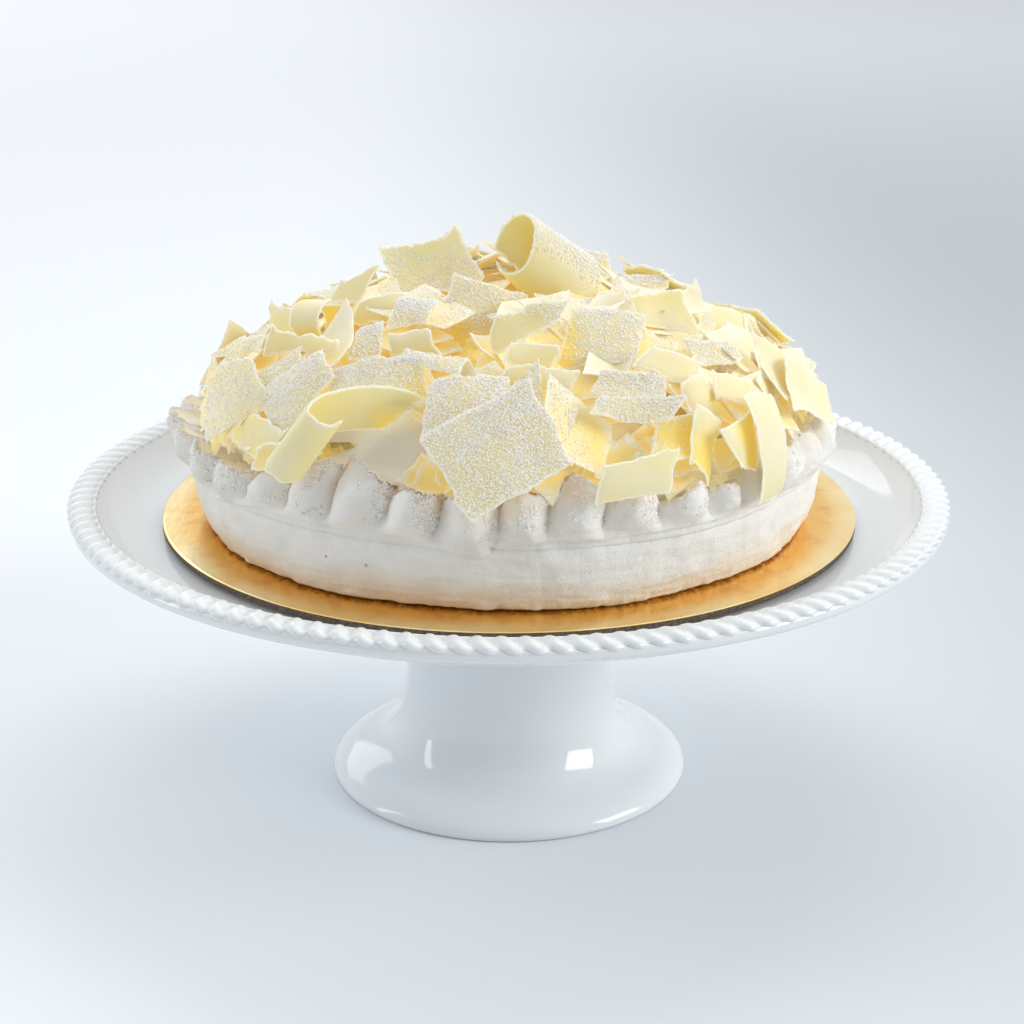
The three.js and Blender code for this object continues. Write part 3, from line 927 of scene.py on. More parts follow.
@dataclass
class CakeStand:
    """The footed plate: a dished plate with a twisted rope rim on a waisted, hollow pedestal."""

    rim_radius: float
    rim_height: float
    ridges: int = 132
    rope_width: float = 11.2
    rope_height: float = 5.4
    ridge_depth: float = 1.8
    ridge_slant: float = 0.7  # pitches that a ridge moves round the rim on its way over the rope
    ridge_columns: int = 12
    columns: int = 288

    def outline(self) -> Array:
        """The section from the plate's middle over the rim and down to the hollow's end.

        Formula: a smooth line through points given as radius and height, from the drawing.

        Returns:
            An array of radius and height.
        """
        r, z = self.rim_radius, self.rim_height
        plate = [(40, 107.2), (112, 107.2), (124, 106.2), (134, 105.2), (141, 105.5), (147, 107.6),
                 (151.5, 111.2), (154.4, 115), (155.4, 116.8), (r - 10.2, z - 1.6)]
        rim = [(r - 9, z - 2.2), (r - 5, z - 2.8), (r - 0.9, z - 3.2), (r - 0.4, z - 4.4),
               (r - 0.8, z - 6.2), (r - 2.4, 112.5), (160, 111), (152, 106.8)]
        under = [(146, 104), (138, 101.9), (130, 100.7), (110, 98.8), (80, 97.6), (58, 96.6),
                 (48, 95), (43.4, 91.5), (41.2, 86), (40.2, 76), (39.6, 60), (40, 46), (41, 34),
                 (44.3, 20.6), (50, 12.9), (57, 9.6), (63, 7.9), (67, 5.9), (69.3, 3.7), (69.9, 1.6),
                 (69.2, 0.3), (68, 0)]
        hollow = [(64, 0), (62.8, 0.4), (61, 2), (56, 5), (49, 8), (42, 13), (37.5, 21), (35.2, 34),
                  (34.4, 60), (34.4, 82), (28, 91), (8, 94)]
        return spline([*plate, *rim, *under, *hollow], 5)

    def body(self) -> Skin:
        """The plate and pedestal, turned from the outline."""
        outline = self.outline()
        return turned(outline[:, :1], outline[:, 1:], round_columns(self.columns))

    def rope(self) -> Skin:
        """The rope rim, a ring with a flat oval section and rounded ridges that wind round it.

        Formula: at the column angle a and section angle f, the phase is ridges * a / 2 pi minus
        slant times the share of the way from the inside over the top. The oval's half axes are
        lowered by ridge_depth times v^2 * (1.6 - 0.6 v), where v is the phase's distance from
        the middle of its ridge, from 0 to 1.

        Returns:
            The rim's skin.
        """
        angle = round_columns(self.ridges * self.ridge_columns)[None, :]
        around = np.linspace(-0.55 * math.pi, 1.45 * math.pi, 22, endpoint=False)[:, None]
        over = (math.pi - around) / math.pi
        phase = self.ridges * angle / (2 * math.pi) - self.ridge_slant * over
        v = np.abs(2 * (phase - np.floor(phase)) - 1)
        groove = self.ridge_depth * v * v * (1.6 - 0.6 * v)
        radius = self.rim_radius - self.rope_width / 2 + (self.rope_width / 2 - groove) * np.cos(around)
        height = self.rim_height - self.rope_height / 2 + (self.rope_height / 2 - groove) * np.sin(around)
        grid = polar(np.broadcast_to(angle, radius.shape), radius, height)
        faces = grid_faces(*grid.shape[:2], True, True)
        return Skin(grid.reshape(-1, 3), [faces])

    def build(self, finishes: Finishes) -> None:
        """Makes the stand's two pieces."""
        make_piece("stand_body", self.body(), [finishes.glaze], ["cake_stand"])
        make_piece("stand_rope_rim", self.rope(), [finishes.glaze], ["cake_stand"])


@dataclass
class CakeBoard:
    """The round cake board: foiled card with a rounded upper edge and a bare cut edge."""

    radius: float
    bottom: float
    top: float
    warp: float = 0.6  # the waves' share of their full height
    settled: float = 0.12  # how far the card has sunk under the weight
    columns: int = 360

    def build(self, finishes: Finishes) -> None:
        """Makes the board, with the foil down to just over its edge and the card's cut below.

        Formula: the section is turned round, and two waves lift and lower it towards its edge.
        """
        r, low, high = self.radius, self.bottom, self.top
        face = [(radius, high) for radius in (60, 100, 114, 118, 121, 124, 128)]
        foiled_edge = [(r - 1.2, high), (r - 0.6, high - 0.02), (r - 0.25, high - 0.14),
                       (r - 0.08, high - 0.32)]
        cut_edge = [(r - 0.12, high - 0.45), (r - 0.1, low + 0.3), (r - 0.3, low), (60, low)]
        rows = np.array([*face, *foiled_edge, *cut_edge])
        angle = round_columns(self.columns)
        wave = 0.12 * np.sin(3 * angle) + 0.08 * np.sin(7 * angle + 1)
        radius = rows[:, :1] + 0 * wave
        height = rows[:, 1:] + wave * smoothstep(rows[:, :1], 100, r) * self.warp - self.settled
        skin = turned(radius, height, angle)
        row = np.repeat(np.arange(len(rows) - 1), self.columns)
        caps = np.concatenate([np.zeros(self.columns), np.ones(self.columns)])
        skin.finishes = np.concatenate([caps, row >= len(face) + len(foiled_edge) - 1])
        # The mask near marks where the foil gets the painted reflection of the cake's shaded wall.
        skin.masks = {"near": 1 - smoothstep(np.hypot(skin.points[:, 0], skin.points[:, 1]), 119, 129)}
        make_piece("board", skin, [finishes.foil, finishes.card], ["cake_board"], crease=60)


# ------------------------------------------------------------------ meringue


def spread(angle: Array) -> Array:
    """How far the hand-spread wall stands in or out at an angle: three waves round the cake."""
    return 1.5 * np.sin(-angle) + 1.0 * np.sin(2 * angle + 1) + 0.6 * np.sin(5 * angle)


@dataclass
class MeringueWall:
    """The outside of the meringue disc as a surface that the border above it carries on.

    Formula: the radius plus the hand's spread, soft lumps, level smears and fine grain.
    """

    radius: float = 118.5

    def at(self, angle: Array, height: Array) -> Array:
        """The wall's radius at column angles in radians and heights in millimetres.

        Args:
            angle: column angles in radians.
            height: heights in millimetres.

        Returns:
            The radii.
        """
        radius = self.radius + spread(angle) + 0 * height
        where = polar(angle, radius, height)
        lumps = 1.1 * noise(where, 34, 3) + 0.45 * noise(where, 9, 5, 2)
        smears = 0.22 * noise(where * np.array([0.14, 0.14, 1]), 1.5, 8, 2)
        return radius + lumps + smears + 0.12 * noise(where, 1.8, 11, 2)


@dataclass
class MeringueBase:
    """The thick meringue disc: a bulging wall with smears, and a ragged foot on the board."""

    wall: MeringueWall
    bottom: float
    top: float
    ragged: float = 0.45  # height of the foot's ragged line
    columns: int = 1080
    rows: int = 44

    def build(self, finishes: Finishes) -> None:
        """Makes the disc.

        Formula: from the wall's radius the section is set in by a smooth line from top to foot,
        and noise makes the foot ragged. The masks are warm low down and more so on the left, the gold
        board's painted reflected light, and brown in the last millimetre over the board.
        """
        profile = spline([(3, 0), (0.6, 0.3), (0.1, 1.4), (0, 8), (0.5, 13), (1.8, 17.5),
                          (3.4, 21), (4.9, 23.2), (6.2, 23.7)], 5)
        full = profile[-1, 1]
        share = np.linspace(0, 1, self.rows) * (len(profile) - 1)
        inset = np.interp(share, np.arange(len(profile)), profile[:, 0])[:, None]
        drop = np.interp(share, np.arange(len(profile)), profile[:, 1])[:, None]
        angle = round_columns(self.columns)[None, :]
        height = self.top - drop * (self.top - self.bottom) / full + 0 * angle
        radius = self.wall.at(angle, height) - inset
        ragged = smoothstep(drop, 18, full) * self.ragged
        level = polar(angle, radius, 0)
        height = height + ragged * np.maximum(noise(level, 5, 21, 3), -0.15)
        radius = radius + ragged * noise(level, 3, 25, 2)
        skin = turned(radius, height, angle[0])
        z = skin.points[:, 2]
        low = 1 - smoothstep(z, self.bottom, self.bottom + 16)
        side = smoothstep(skin.points[:, 0], -60, 50)
        # Painted light: warm low down is the gold board's reflected light, more on the left.
        skin.masks = {
            "warm": (0.5 - 0.48 * side) * low**1.6 * (0.75 + 0.5 * noise(skin.points, 30, 31)),
            "toast_and_shade": 0.9 * (1 - smoothstep(z, self.bottom + 0.3, self.bottom + 1.1)),
            "dust": np.zeros(len(z)),
            "deep": np.zeros(len(z)),
        }
        make_piece("base", skin, [finishes.wall], ["meringue_base"])


@dataclass(frozen=True)
class Petal:
    """One piped petal and the crease on its left.

    crease: column angles of the crease's foot and top, and the notch's height. tip: column
    angle and height. tilt: how far its right side stands before its left. flare: how far its
    tip stands out from the border.
    """

    crease: Point
    tip: tuple[float, float]
    tilt: float = 0.0
    flare: float = 0.0


FRONT_PETALS = [Petal(*values) for values in (
    ((-91, -90, 146), (-85, 151), 0.5, 6),
    ((-80, -79, 144), (-74, 151.5), 0.8, 3.5),
    ((-69.5, -69, 145), (-64.5, 151.5), 0.8, 2),
    ((-59.5, -58.5, 144), (-55, 150), 1.0, 1.5),
    ((-50.5, -46, 145), (-41, 152.5), -0.6),
    ((-40, -38, 149), (-33, 158), -0.5),
    ((-31.3, -29.8, 155), (-28.3, 160), -0.7),
    ((-21.6, -18.8, 150), (-16.5, 153.7), 0.4),
    ((-12.6, -10.5, 149.5), (-5.6, 153), 1.3),
    ((-1.9, -1.5, 147), (1.8, 154.6), 0.3),
    ((5.9, 7.2, 148.4), (10.8, 158), -0.4),
    ((15.1, 17.2, 147.5), (21.6, 151.5), -0.3),
    ((24.8, 26.2, 144), (32.2, 151.5), 1.4),
    ((34.5, 34.6, 145), (37.5, 149), -0.4),
    ((42, 42.5, 145), (45, 150.5), 0.3),
)]
# Column angle and height of the border's lower lip.
LIP = [(-180, 135.5), (-91, 133), (-75, 132), (-60, 131.5), (-50, 135), (-44, 136.6), (-32.6, 136.3),
       (-23, 137.4), (-14.4, 135.5), (-8, 132.3), (-4.3, 131), (-1.4, 134.9), (6.5, 136.6),
       (14.7, 136.2), (27, 136.8), (40, 136), (60, 135.5), (180, 135.5)]


@dataclass
class PipedBorder:
    """The border of piped petals, each a broad shell with a pointed top, fused at their foot."""

    wall: MeringueWall
    bottom: float
    end: float = 51  # the column angle that the front petals reach
    back_petals: int = 24
    edge: float = 1.5  # radius of the rounded upper edge
    inner_end: tuple[float, float] = (101, 141)  # radius and height where it ends inside
    hole: Point = (-2.6, 133.6, 1.6)  # the small burst bubble's column angle, height and depth
    columns: int = 1560
    growth: tuple[float, float] = (0.0, 0.36)  # share of the height over which the relief grows
    browned: Sequence[tuple[float, float]] = (
        (-180, 0.3), (-95, 0.3), (-50, 0.4), (-36, 0.25), (-24, 0.25), (-19, 1), (-11, 1),
        (-6, 0.6), (0, 1), (7, 1), (12, 0.35), (26, 0.3), (45, 0.15), (60, 0), (95, 0),
        (120, 0.3), (180, 0.3))  # how brown the edge is at a column angle, which also scales the painted shade in the creases

    def petals(self) -> list[Petal]:
        """All petals, from the first front one round to where they close.

        Returns:
            The petals in order of their angles.
        """
        pitch = (FRONT_PETALS[0].crease[0] + 360 - self.end) / self.back_petals
        back = []
        for k in range(self.back_petals):
            chance = [float(scatter(k, channel)) for channel in range(8)]
            foot = self.end + pitch * (k + (0.3 * (chance[1] - 0.5) if k else 0))
            full = float(self.calm(foot + pitch / 2))
            tip = (foot + pitch * (0.35 + 0.3 * chance[3]), 148 + 8 * chance[2] + 5 * full)
            crease = (foot, foot + 2 * (chance[6] - 0.5), 143 + 4 * chance[4] + 9 * full)
            back.append(Petal(crease, tip, 1.6 * (chance[5] - 0.5), 2 * chance[7]))
        return [*FRONT_PETALS, *back]

    @staticmethod
    def calm(degrees: Array) -> Array:
        """How far the petals have run together into a smooth full wall, on the right side."""
        return smoothstep(degrees, 47, 58) * (1 - smoothstep(degrees, 96, 116))

    @staticmethod
    def left(degrees: Array) -> Array:
        """How far a place is on the left side, where the petals are pointed and deeply parted."""
        return smoothstep(-degrees, 48, 60) * (1 - smoothstep(-degrees, 96, 110))

    def upper_edge(self, degrees: Array, petals: list[Petal]) -> Array:
        """Height of the border's upper edge at column angles.

        Formula: notch + (tip - notch) * (1 - t^1.8), where t is the distance from the tip as a
        share of the way to the notch on that side. On the left the power is 1.1.

        Args:
            degrees: column angles.
            petals: all petals.

        Returns:
            The heights.
        """
        tops = round_again([p.crease[1] for p in petals], 360)
        notches = round_again([p.crease[2] for p in petals])
        tips, heights = np.array([p.tip for p in petals]).T
        place = (degrees - tops[0]) % 360 + tops[0]
        k = np.clip(np.searchsorted(tops, place, side="right") - 1, 0, len(petals) - 1)
        left = place < tips[k]
        side = np.where(left, k, k + 1)
        t = np.clip((place - tips[k]) / (tops[side] - tips[k]), 0, 1)
        return notches[side] + (heights[k] - notches[side]) * (1 - t ** (1.8 - 0.7 * self.left(degrees)))

    def relief(self, degrees: Array, v: Array, petals: list[Petal]) -> tuple[Array, Array]:
        """How far the petals stand out, and where each point lies between two creases.

        Formula: grown * (2.4 - 9 |f|^2.2 + tilt * f) + flare * (1 - f^2) * v^1.6, where f runs
        from -1 to 1 between the creases and grown goes from 0 at the lip to 1. On the right side
        the petals are calm: the relief is a quarter, and the wall is fuller. On the left it is
        nearly twice as strong.

        Args:
            degrees: column angles.
            v: heights over the lip as shares of the tips' height.
            petals: all petals.

        Returns:
            The relief in millimetres and f, both in the shape of v.
        """
        feet = round_again([p.crease[0] for p in petals], 360)
        leans = round_again([p.crease[1] - p.crease[0] for p in petals])
        place = (degrees - feet[0]) % 360 + feet[0]
        place = place - np.interp(place, feet, leans) * np.clip(v, 0, 1)
        k = np.clip(np.searchsorted(feet, place, side="right") - 1, 0, len(petals) - 1)
        f = np.clip(2 * (place - feet[k]) / (feet[k + 1] - feet[k]) - 1, -1, 1)
        tilt, flare = np.array([(p.tilt, p.flare) for p in petals])[k].transpose(2, 0, 1)
        grown = smoothstep(v, *self.growth)
        calm = self.calm(degrees)
        strong = 1 + 0.8 * self.left(degrees)
        relief = grown * (tilt * f + 2.4 - 9 * np.abs(f) ** 2.2) * (1 - 0.75 * calm) * strong
        flared = flare * np.clip(1 - f * f, 0, 1) * np.clip(v, 0, 1) ** 1.6
        return relief + 2.2 * calm * grown + flared, f

    def closing(self, radius: Array, height: Array) -> tuple[Array, Array, Array]:
        """The rows that carry the border's last row over the edge and down inside.

        Formula: a half circle, and from its end a curve down to the inner end, whose height
        falls with the 0.45th power of the way there.

        Args:
            radius: the last row's radii.
            height: its heights.

        Returns:
            Radii, heights and the share of the way over the edge, from 0 to 1.
        """
        turn = np.linspace(0, math.pi, 9)[1:, None]
        crest_radius = radius - self.edge + self.edge * np.cos(turn)
        crest_height = height + self.edge * np.sin(turn)
        inner = np.array([0.25, 0.6, 1.0])[:, None]
        end_radius, end_height = self.inner_end
        inner_radius = crest_radius[-1:] + (end_radius - crest_radius[-1:]) * inner
        inner_height = crest_height[-1:] + (end_height - crest_height[-1:]) * inner**0.45
        over = np.vstack([turn / math.pi, np.ones_like(inner)]) + 0 * radius
        return np.vstack([crest_radius, inner_radius]), np.vstack([crest_height, inner_height]), over

    def surface(self, petals: list[Petal]) -> tuple[Array, dict[str, Array]]:
        """The border's grid of points, from its hidden foot up, over the edge and down inside.

        Formula: with the share v of the height of the tips, it stands at the wall's radius
        + 1.3 + 1.8 sin(3 v) - 5 v^3 + the petals' relief, with fine noise and a burst bubble.

        Args:
            petals: all petals.

        Returns:
            The points, and for each the shares over the edge, aside of a petal's middle, up to
            the tips and inside the bubble, and the column angle in degrees.
        """
        angle = round_columns(self.columns)[None, :] - math.pi
        degrees = np.degrees(angle)
        edge = self.upper_edge(degrees, petals)
        edge = edge + 0.5 * noise(polar(angle, 115, 0), 2.5, 81, 2)
        lip = np.interp(degrees, *np.array(LIP, float).T) + 0.5 * noise(polar(angle, 118, 0), 9, 82, 2)
        hidden = np.minimum(lip - 0.5, self.bottom - 0.8)
        between = hidden * 0.5 + (lip - 0.4) * 0.5
        below = [hidden - 3, hidden - 0.5, hidden, between, lip - 0.4, lip - 0.15]
        rise = np.linspace(0.03, 1, 38)[:, None]
        above = [lip + 0.1, lip + 0.4, lip + 0.4 + rise * (edge - self.edge - lip - 0.4)]
        height = np.vstack([*below, *above])
        v = np.clip((height - lip) / (np.max(edge) - 6 - lip), 0, 1.2)
        relief, f = self.relief(degrees, v, petals)
        sunk = 1.6 * (1 - smoothstep(height, hidden - 0.5, hidden))
        step = -sunk + 1.3 * smoothstep(height, lip - 0.3, lip + 0.35)
        line = 1.8 * np.sin(3 * np.clip(v, 0, 1)) - 5 * v**3
        radius = self.wall.at(angle, height) + step + np.where(height > lip, line + relief, 0)
        fine = polar(angle, radius, height)
        waves = 0.5 * noise(fine, 9, 83, 2) + 0.16 * noise(fine, 2.2, 84, 2)
        radius = radius + smoothstep(v, *self.growth) * waves
        hole_degrees, hole_height, hole_depth = self.hole
        off = ((degrees - hole_degrees) * MM_PER_DEGREE) ** 2 + (height - hole_height) ** 2
        hole = np.exp(-off / 1.4)
        radius = radius - hole_depth * hole
        closing_radius, closing_height, over = self.closing(radius[-1:], height[-1:])
        grid = polar(angle, np.vstack([radius, closing_radius]), np.vstack([height, closing_height]))
        parts = {
            "over": np.vstack([np.zeros_like(v), over]),
            "aside": np.vstack([f, f[-1:] + 0 * over]),
            "up": np.vstack([v, v[-1:] + 0 * over]),
            "hole": np.vstack([hole, 0 * over]),
        }
        parts["degrees"] = degrees + 0 * parts["up"]
        return grid, parts

    def build(self, finishes: Finishes) -> Skin:
        """Makes the border as one closed ring of skin.

        Formula: the masks are warm, painted warm shade in the creases, weaker on the right, and
        patches near the tips; brown along the edge from toasting, and painted shade high in the
        creases, on the left petals' tops and in the bubble; dusty in patches on each petal's right
        side; and deep behind the edge, a painted glow.

        Args:
            finishes: all materials.

        Returns:
            The skin.
        """
        grid, parts = self.surface(self.petals())
        skin = Skin(grid.reshape(-1, 3), [grid_faces(*grid.shape[:2], True, True)])
        over, aside, up, hole, degrees = (values.ravel() for values in parts.values())
        valley = smoothstep(np.abs(aside), 0.72, 1) * smoothstep(up, 0.2, 0.7)
        patches = noise(skin.points, 7, 85, 2)
        left = smoothstep(-degrees, 50, 70) * (1 - smoothstep(-degrees, 100, 125))
        outside = 1 - smoothstep(over, 0.4, 0.9)
        brink = smoothstep(over, 0.1, 0.35) * (1 - smoothstep(over, 0.7, 1.0))
        # Painted warm shade: peach in the creases, weaker towards the lit right side.
        tint = 0.5 - 0.3 * smoothstep(degrees, 15, 40)
        warm = tint * (valley + smoothstep(up, 0.5, 1) * smoothstep(patches, -0.2, 0.6)) * outside
        browned = np.interp(degrees, *np.array(self.browned, float).T)
        # Brown: toasting along the edge, and painted shade in the creases, on the left petals' tops and
        # in the burst bubble.
        toast_and_shade = browned * (brink + 0.7 * valley * smoothstep(up, 0.55, 0.9))
        toast_and_shade = toast_and_shade + 0.15 * left * smoothstep(up, 0.8, 1.0) * outside
        toast_and_shade = toast_and_shade + 1.2 * smoothstep(hole, 0.4, 0.8)
        dust = smoothstep(up, 0.1, 0.4) * smoothstep(aside, -0.6, 0.7) * smoothstep(patches, -0.2, 0.3)
        # Painted glow: deep behind the edge.
        skin.masks = {
            "warm": np.clip(warm, 0, 1),
            "toast_and_shade": np.clip(toast_and_shade, 0, 1),
            "dust": dust * (over < 0.6),
            "deep": smoothstep(over, 0.5, 0.95),
        }
        make_piece("border_petals", skin, [finishes.petals], ["piped_border"])
        return skin


# ------------------------------------------------------------------ filling and heap

CREAM_BAYS = [(-24, 8, 9), (68, 6, 7)]  # column angle, depth in mm, half width in degrees


def bay(angle: Array) -> Array:
    """How deep the heap's foot stands back at an angle in radians, so that the cream shows.

    Formula: the sum over the bays of depth times exp(-(angle from the bay / half width)^2).
    """
    turn = (np.degrees(angle) + 180) % 360 - 180
    return sum(depth * np.exp(-(((turn - at) / width) ** 2)) for at, width, depth in CREAM_BAYS)


@dataclass
class Mound:
    """The heap's mean outline, a flat-topped dome."""

    floor: float = 150
    reach: float = 124
    height: float = 50

    def top(self, radius: Array) -> Array:
        """Height at a radius: floor + height * (1 - (radius / reach)^2.6)^0.75."""
        share = np.clip(np.abs(radius) / self.reach, 0, 1)
        return self.floor + self.height * (1 - share**2.6) ** 0.75


@dataclass
class CreamFilling:
    """The cream inside the border: a low dome with soft lumps where it shows."""

    bottom: float
    columns: int = 480

    def build(self, finishes: Finishes) -> None:
        """Makes the dome. Formula: a smooth section plus the bays' lumps and layered waves."""
        section = spline([(30, 177.6), (55, 177), (84, 172), (99, 163), (106, 156.5), (110.3, 152.5),
                          (110, 147.5), (101, 140), (98.8, self.bottom)], 7)
        lump = np.interp(section[:, 1], [134, 147, 156, 163, 172, 178], [0, 0.1, 0.7, 1, 0.5, 0])[:, None]
        angle = round_columns(self.columns)[None, :]
        depth = bay(angle)
        radius = section[:, :1] + 0.3 * depth * lump
        height = section[:, 1:] + 0.2 * depth * lump
        where = polar(angle, radius, height)
        radius = radius + 1.3 * noise(where, 15, 61, 2) * smoothstep(section[:, :1], 60, 99)
        height = height + 0.8 * noise(where, 18, 65, 2) * lump
        skin = turned(radius, height, angle[0])
        turn = np.degrees(np.arctan2(skin.points[:, 0], -skin.points[:, 1]))
        # The mask deep paints a glow on the cream's low parts.
        skin.masks = {
            "warm": np.maximum(0.75 * smoothstep(turn, -8, 6), 0.6 * smoothstep(-turn, 40, 50)),
            "deep": 1 - smoothstep(skin.points[:, 2], 152, 158),
        }
        make_piece("cream_dome", skin, [finishes.cream], ["cream_filling"])


class Dusting(Enum):
    """How the sugar lies on a shaving."""

    CLEAN = 0.0
    LIGHT = 0.22
    EVEN = 0.55
    HEAVY = 0.85
    TOP_EDGE = 0.9


@dataclass(frozen=True)
class Shaving:
    """A flat or bent shaving.

    attitude: the face looks towards angle a, lifted by b degrees, and is turned by c degrees.
    size: length and width. form: taper of the width along the length, lean of the ends in
    degrees, and bend of the whole length in degrees, positive where the ends curl outwards.
    """

    name: str
    middle: Point
    attitude: Point
    size: tuple[float, float]
    form: Point
    dusting: Dusting = Dusting.CLEAN


SHAVINGS = [Shaving(*values) for values in (
    ("front_square", (-5, -119, 170), (-3, 35, 30), (38, 28), (0, -10, -10), Dusting.HEAVY),
    ("shelf_dusted", (-15, -101, 179), (-5, 50, 10), (28, 17), (-0.1, 20, -15), Dusting.HEAVY),
    ("front_clean", (42, -119, 159), (15, 20, 0), (24, 12), (0.1, 10, -10)),
    ("front_behind", (54, -102, 166), (20, 30, -5), (14, 11), (0.1, 20, 0), Dusting.LIGHT),
    ("middle_band", (11, -91, 184), (0, 20, -5), (24, 7), (0.3, 15, -20)),
    ("yellow_under", (8, -79, 189), (0, 30, -5), (15, 8), (0.2, 15, 20)),
    ("long_dusted_edge", (7, -69, 197), (-10, 25, 25), (27, 11), (-0.2, 15, -15), Dusting.TOP_EDGE),
    ("centre_sheet", (32, -67, 193), (10, 45, 5), (28, 20), (-0.1, 30, -15), Dusting.EVEN),
    ("right_dusted_top", (40, -93, 182), (10, 40, -10), (24, 10), (-0.1, 15, -25), Dusting.HEAVY),
    ("right_band", (42, -99, 176), (10, 40, -5), (28, 7), (0.1, 40, 40), Dusting.HEAVY),
    ("right_clean", (54, -77, 186), (25, 40, -30), (20, 11), (0, 20, -8)),
    ("right_dusted", (72, -58, 184), (40, 50, -10), (22, 9), (-0.1, 0, 10), Dusting.EVEN),
    ("right_face", (76, -76, 177), (45, 30, -25), (18, 9), (0, 0, -10)),
    ("right_fold", (65, -85, 176), (35, 25, -5), (14, 13), (0.3, -30, -30)),
    ("right_oval", (79, -94, 162), (55, 10, 5), (15, 17), (0.2, -5, -25)),
    ("right_upright", (65, -99, 164), (45, 5, -35), (13, 16), (0, -25, -15)),
    ("right_long", (89, -86, 158), (65, 10, -15), (20, 32), (0, -10, -10)),
    ("right_outer", (107, -47, 167), (70, 35, -35), (30, 17), (-0.2, 25, -10)),
    ("right_shoulder", (96, -49, 174), (65, 40, -30), (16, 23), (-0.2, 0, -20)),
    ("upper_right", (54, -39, 194), (20, 25, -10), (22, 11), (0.4, -30, 15)),
    ("far_right_back", (85, 20, 176), (45, 35, -20), (27, 10), (-0.2, 10, 0)),
    ("top_back_dusted", (52, 25, 190), (10, 55, 0), (19, 7), (-0.1, 35, 10), Dusting.HEAVY),
    ("peak_shoulder", (33, 12, 200), (20, 30, -15), (11, 11), (-0.3, -30, -15), Dusting.HEAVY),
    ("peak_square", (-29, -5, 205), (-15, 30, 20), (33, 21), (0, -15, 60), Dusting.EVEN),
    ("peak_back_sheet", (-11, -40, 193), (5, 35, -10), (24, 23), (-0.1, 15, -20), Dusting.EVEN),
    ("leaf_dusted", (-34, -51, 197), (-15, 55, 15), (14, 12), (0, 30, 10), Dusting.HEAVY),
    ("leaf_under", (-34, -64, 190), (-15, 20, 5), (17, 9), (0.1, -25, 20)),
    ("ledge_left", (-49, -61, 190), (-20, 50, 20), (9, 13), (-0.1, 5, 0), Dusting.HEAVY),
    ("ledge_dusted", (-26, -84, 188), (-5, 60, -15), (19, 5), (0.3, 5, 15), Dusting.HEAVY),
    ("behind_curl", (-45, -86, 182), (-20, 45, 0), (33, 13), (0.6, -30, -50), Dusting.EVEN),
    ("left_dusted", (-72, -77, 178), (-45, 40, 65), (27, 18), (-0.2, 10, -15), Dusting.EVEN),
    ("left_behind", (-82, -63, 176), (-45, 45, 45), (26, 15), (-0.2, 0, -10), Dusting.EVEN),
    ("left_outer", (-96, -37, 180), (-60, 40, 10), (19, 10), (0, 40, 10), Dusting.LIGHT),
    ("left_lower", (-97, -57, 170), (-60, 30, 30), (32, 24), (-0.2, -35, -20), Dusting.LIGHT),
    ("left_upright", (-81, -24, 188), (-40, 20, 0), (15, 8), (-0.3, -25, 20)),
    ("left_band", (-71, -54, 186), (-35, 10, 5), (31, 6), (-0.5, 20, 30)),
    ("left_flakes", (-56, -25, 199), (-20, 25, 20), (14, 9), (0.1, 40, 15)),
    ("left_shelf", (-46, -38, 195), (-10, 20, 15), (17, 7), (0.1, 40, -20)),
    ("low_left", (-87, -81, 161), (-55, 25, -5), (30, 13), (0, 25, -15)),
    ("low_left_tip", (-78, -94, 158), (-45, 15, 15), (15, 10), (-0.1, 20, 10)),
)]


@dataclass(frozen=True)
class Roll:
    """A rolled shaving.

    The mouth lies in a plane that faces (angle, lift), and the wall runs from it towards
    (angle, rise). The mouth's radius grows from `radius` by `grow` over the sweep, faster near
    its end with a higher `power`, and is `flat` times as high as it is wide. At its foot the
    roll is `foot` times as wide.
    """

    name: str
    mouth: Point
    faces: tuple[float, float]
    runs: tuple[float, float]
    radius: float
    flat: float
    grow: float
    power: float
    start: float
    sweep: float
    lengths: tuple[float, float]
    foot: float
    dusting: Dusting = Dusting.CLEAN


ROLLS = [
    Roll("peak_roll", (2, -18, 214), (-45, 25), (112, -40), radius=8.6, flat=1.25, grow=1.1, power=1,
         start=-140, sweep=335, lengths=(26, 36), foot=1.25, dusting=Dusting.EVEN),
    Roll("front_curl", (-59, -104, 177), (16, 44), (-95, -54), radius=6.5, flat=0.75, grow=4.8,
         power=7.5, start=-50, sweep=-303, lengths=(25, 16), foot=1.05),
    Roll("left_ring", (-62, -32, 189), (50, 15), (-110, -5), radius=7.4, flat=0.85, grow=1.25,
         power=1, start=60, sweep=-330, lengths=(10, 11), foot=1),
]


LARGE_THICKNESS = 1.15  # of the shavings that have names
SMALL_THICKNESS = 1.0


def stops(length: float, step: float) -> Array:
    """Places from 0 to 1 along a length in millimetres, close together near both ends.

    Args:
        length: the whole length.
        step: about how far apart the places lie.

    Returns:
        The places.
    """
    count = max(2, round((length - 2) / step))
    inner = np.linspace(1.0, length - 1.0, count + 1)
    return np.concatenate([[0, 0.4], inner, [length - 0.4, length]]) / length


def border_loop(rows: int, columns: int) -> Array:
    """Numbers of a grid's border points, once round."""
    numbers = np.arange(rows * columns).reshape(rows, columns)
    return np.concatenate([numbers[0], numbers[1:, -1], numbers[-1, -2::-1], numbers[-2:0:-1, 0]])


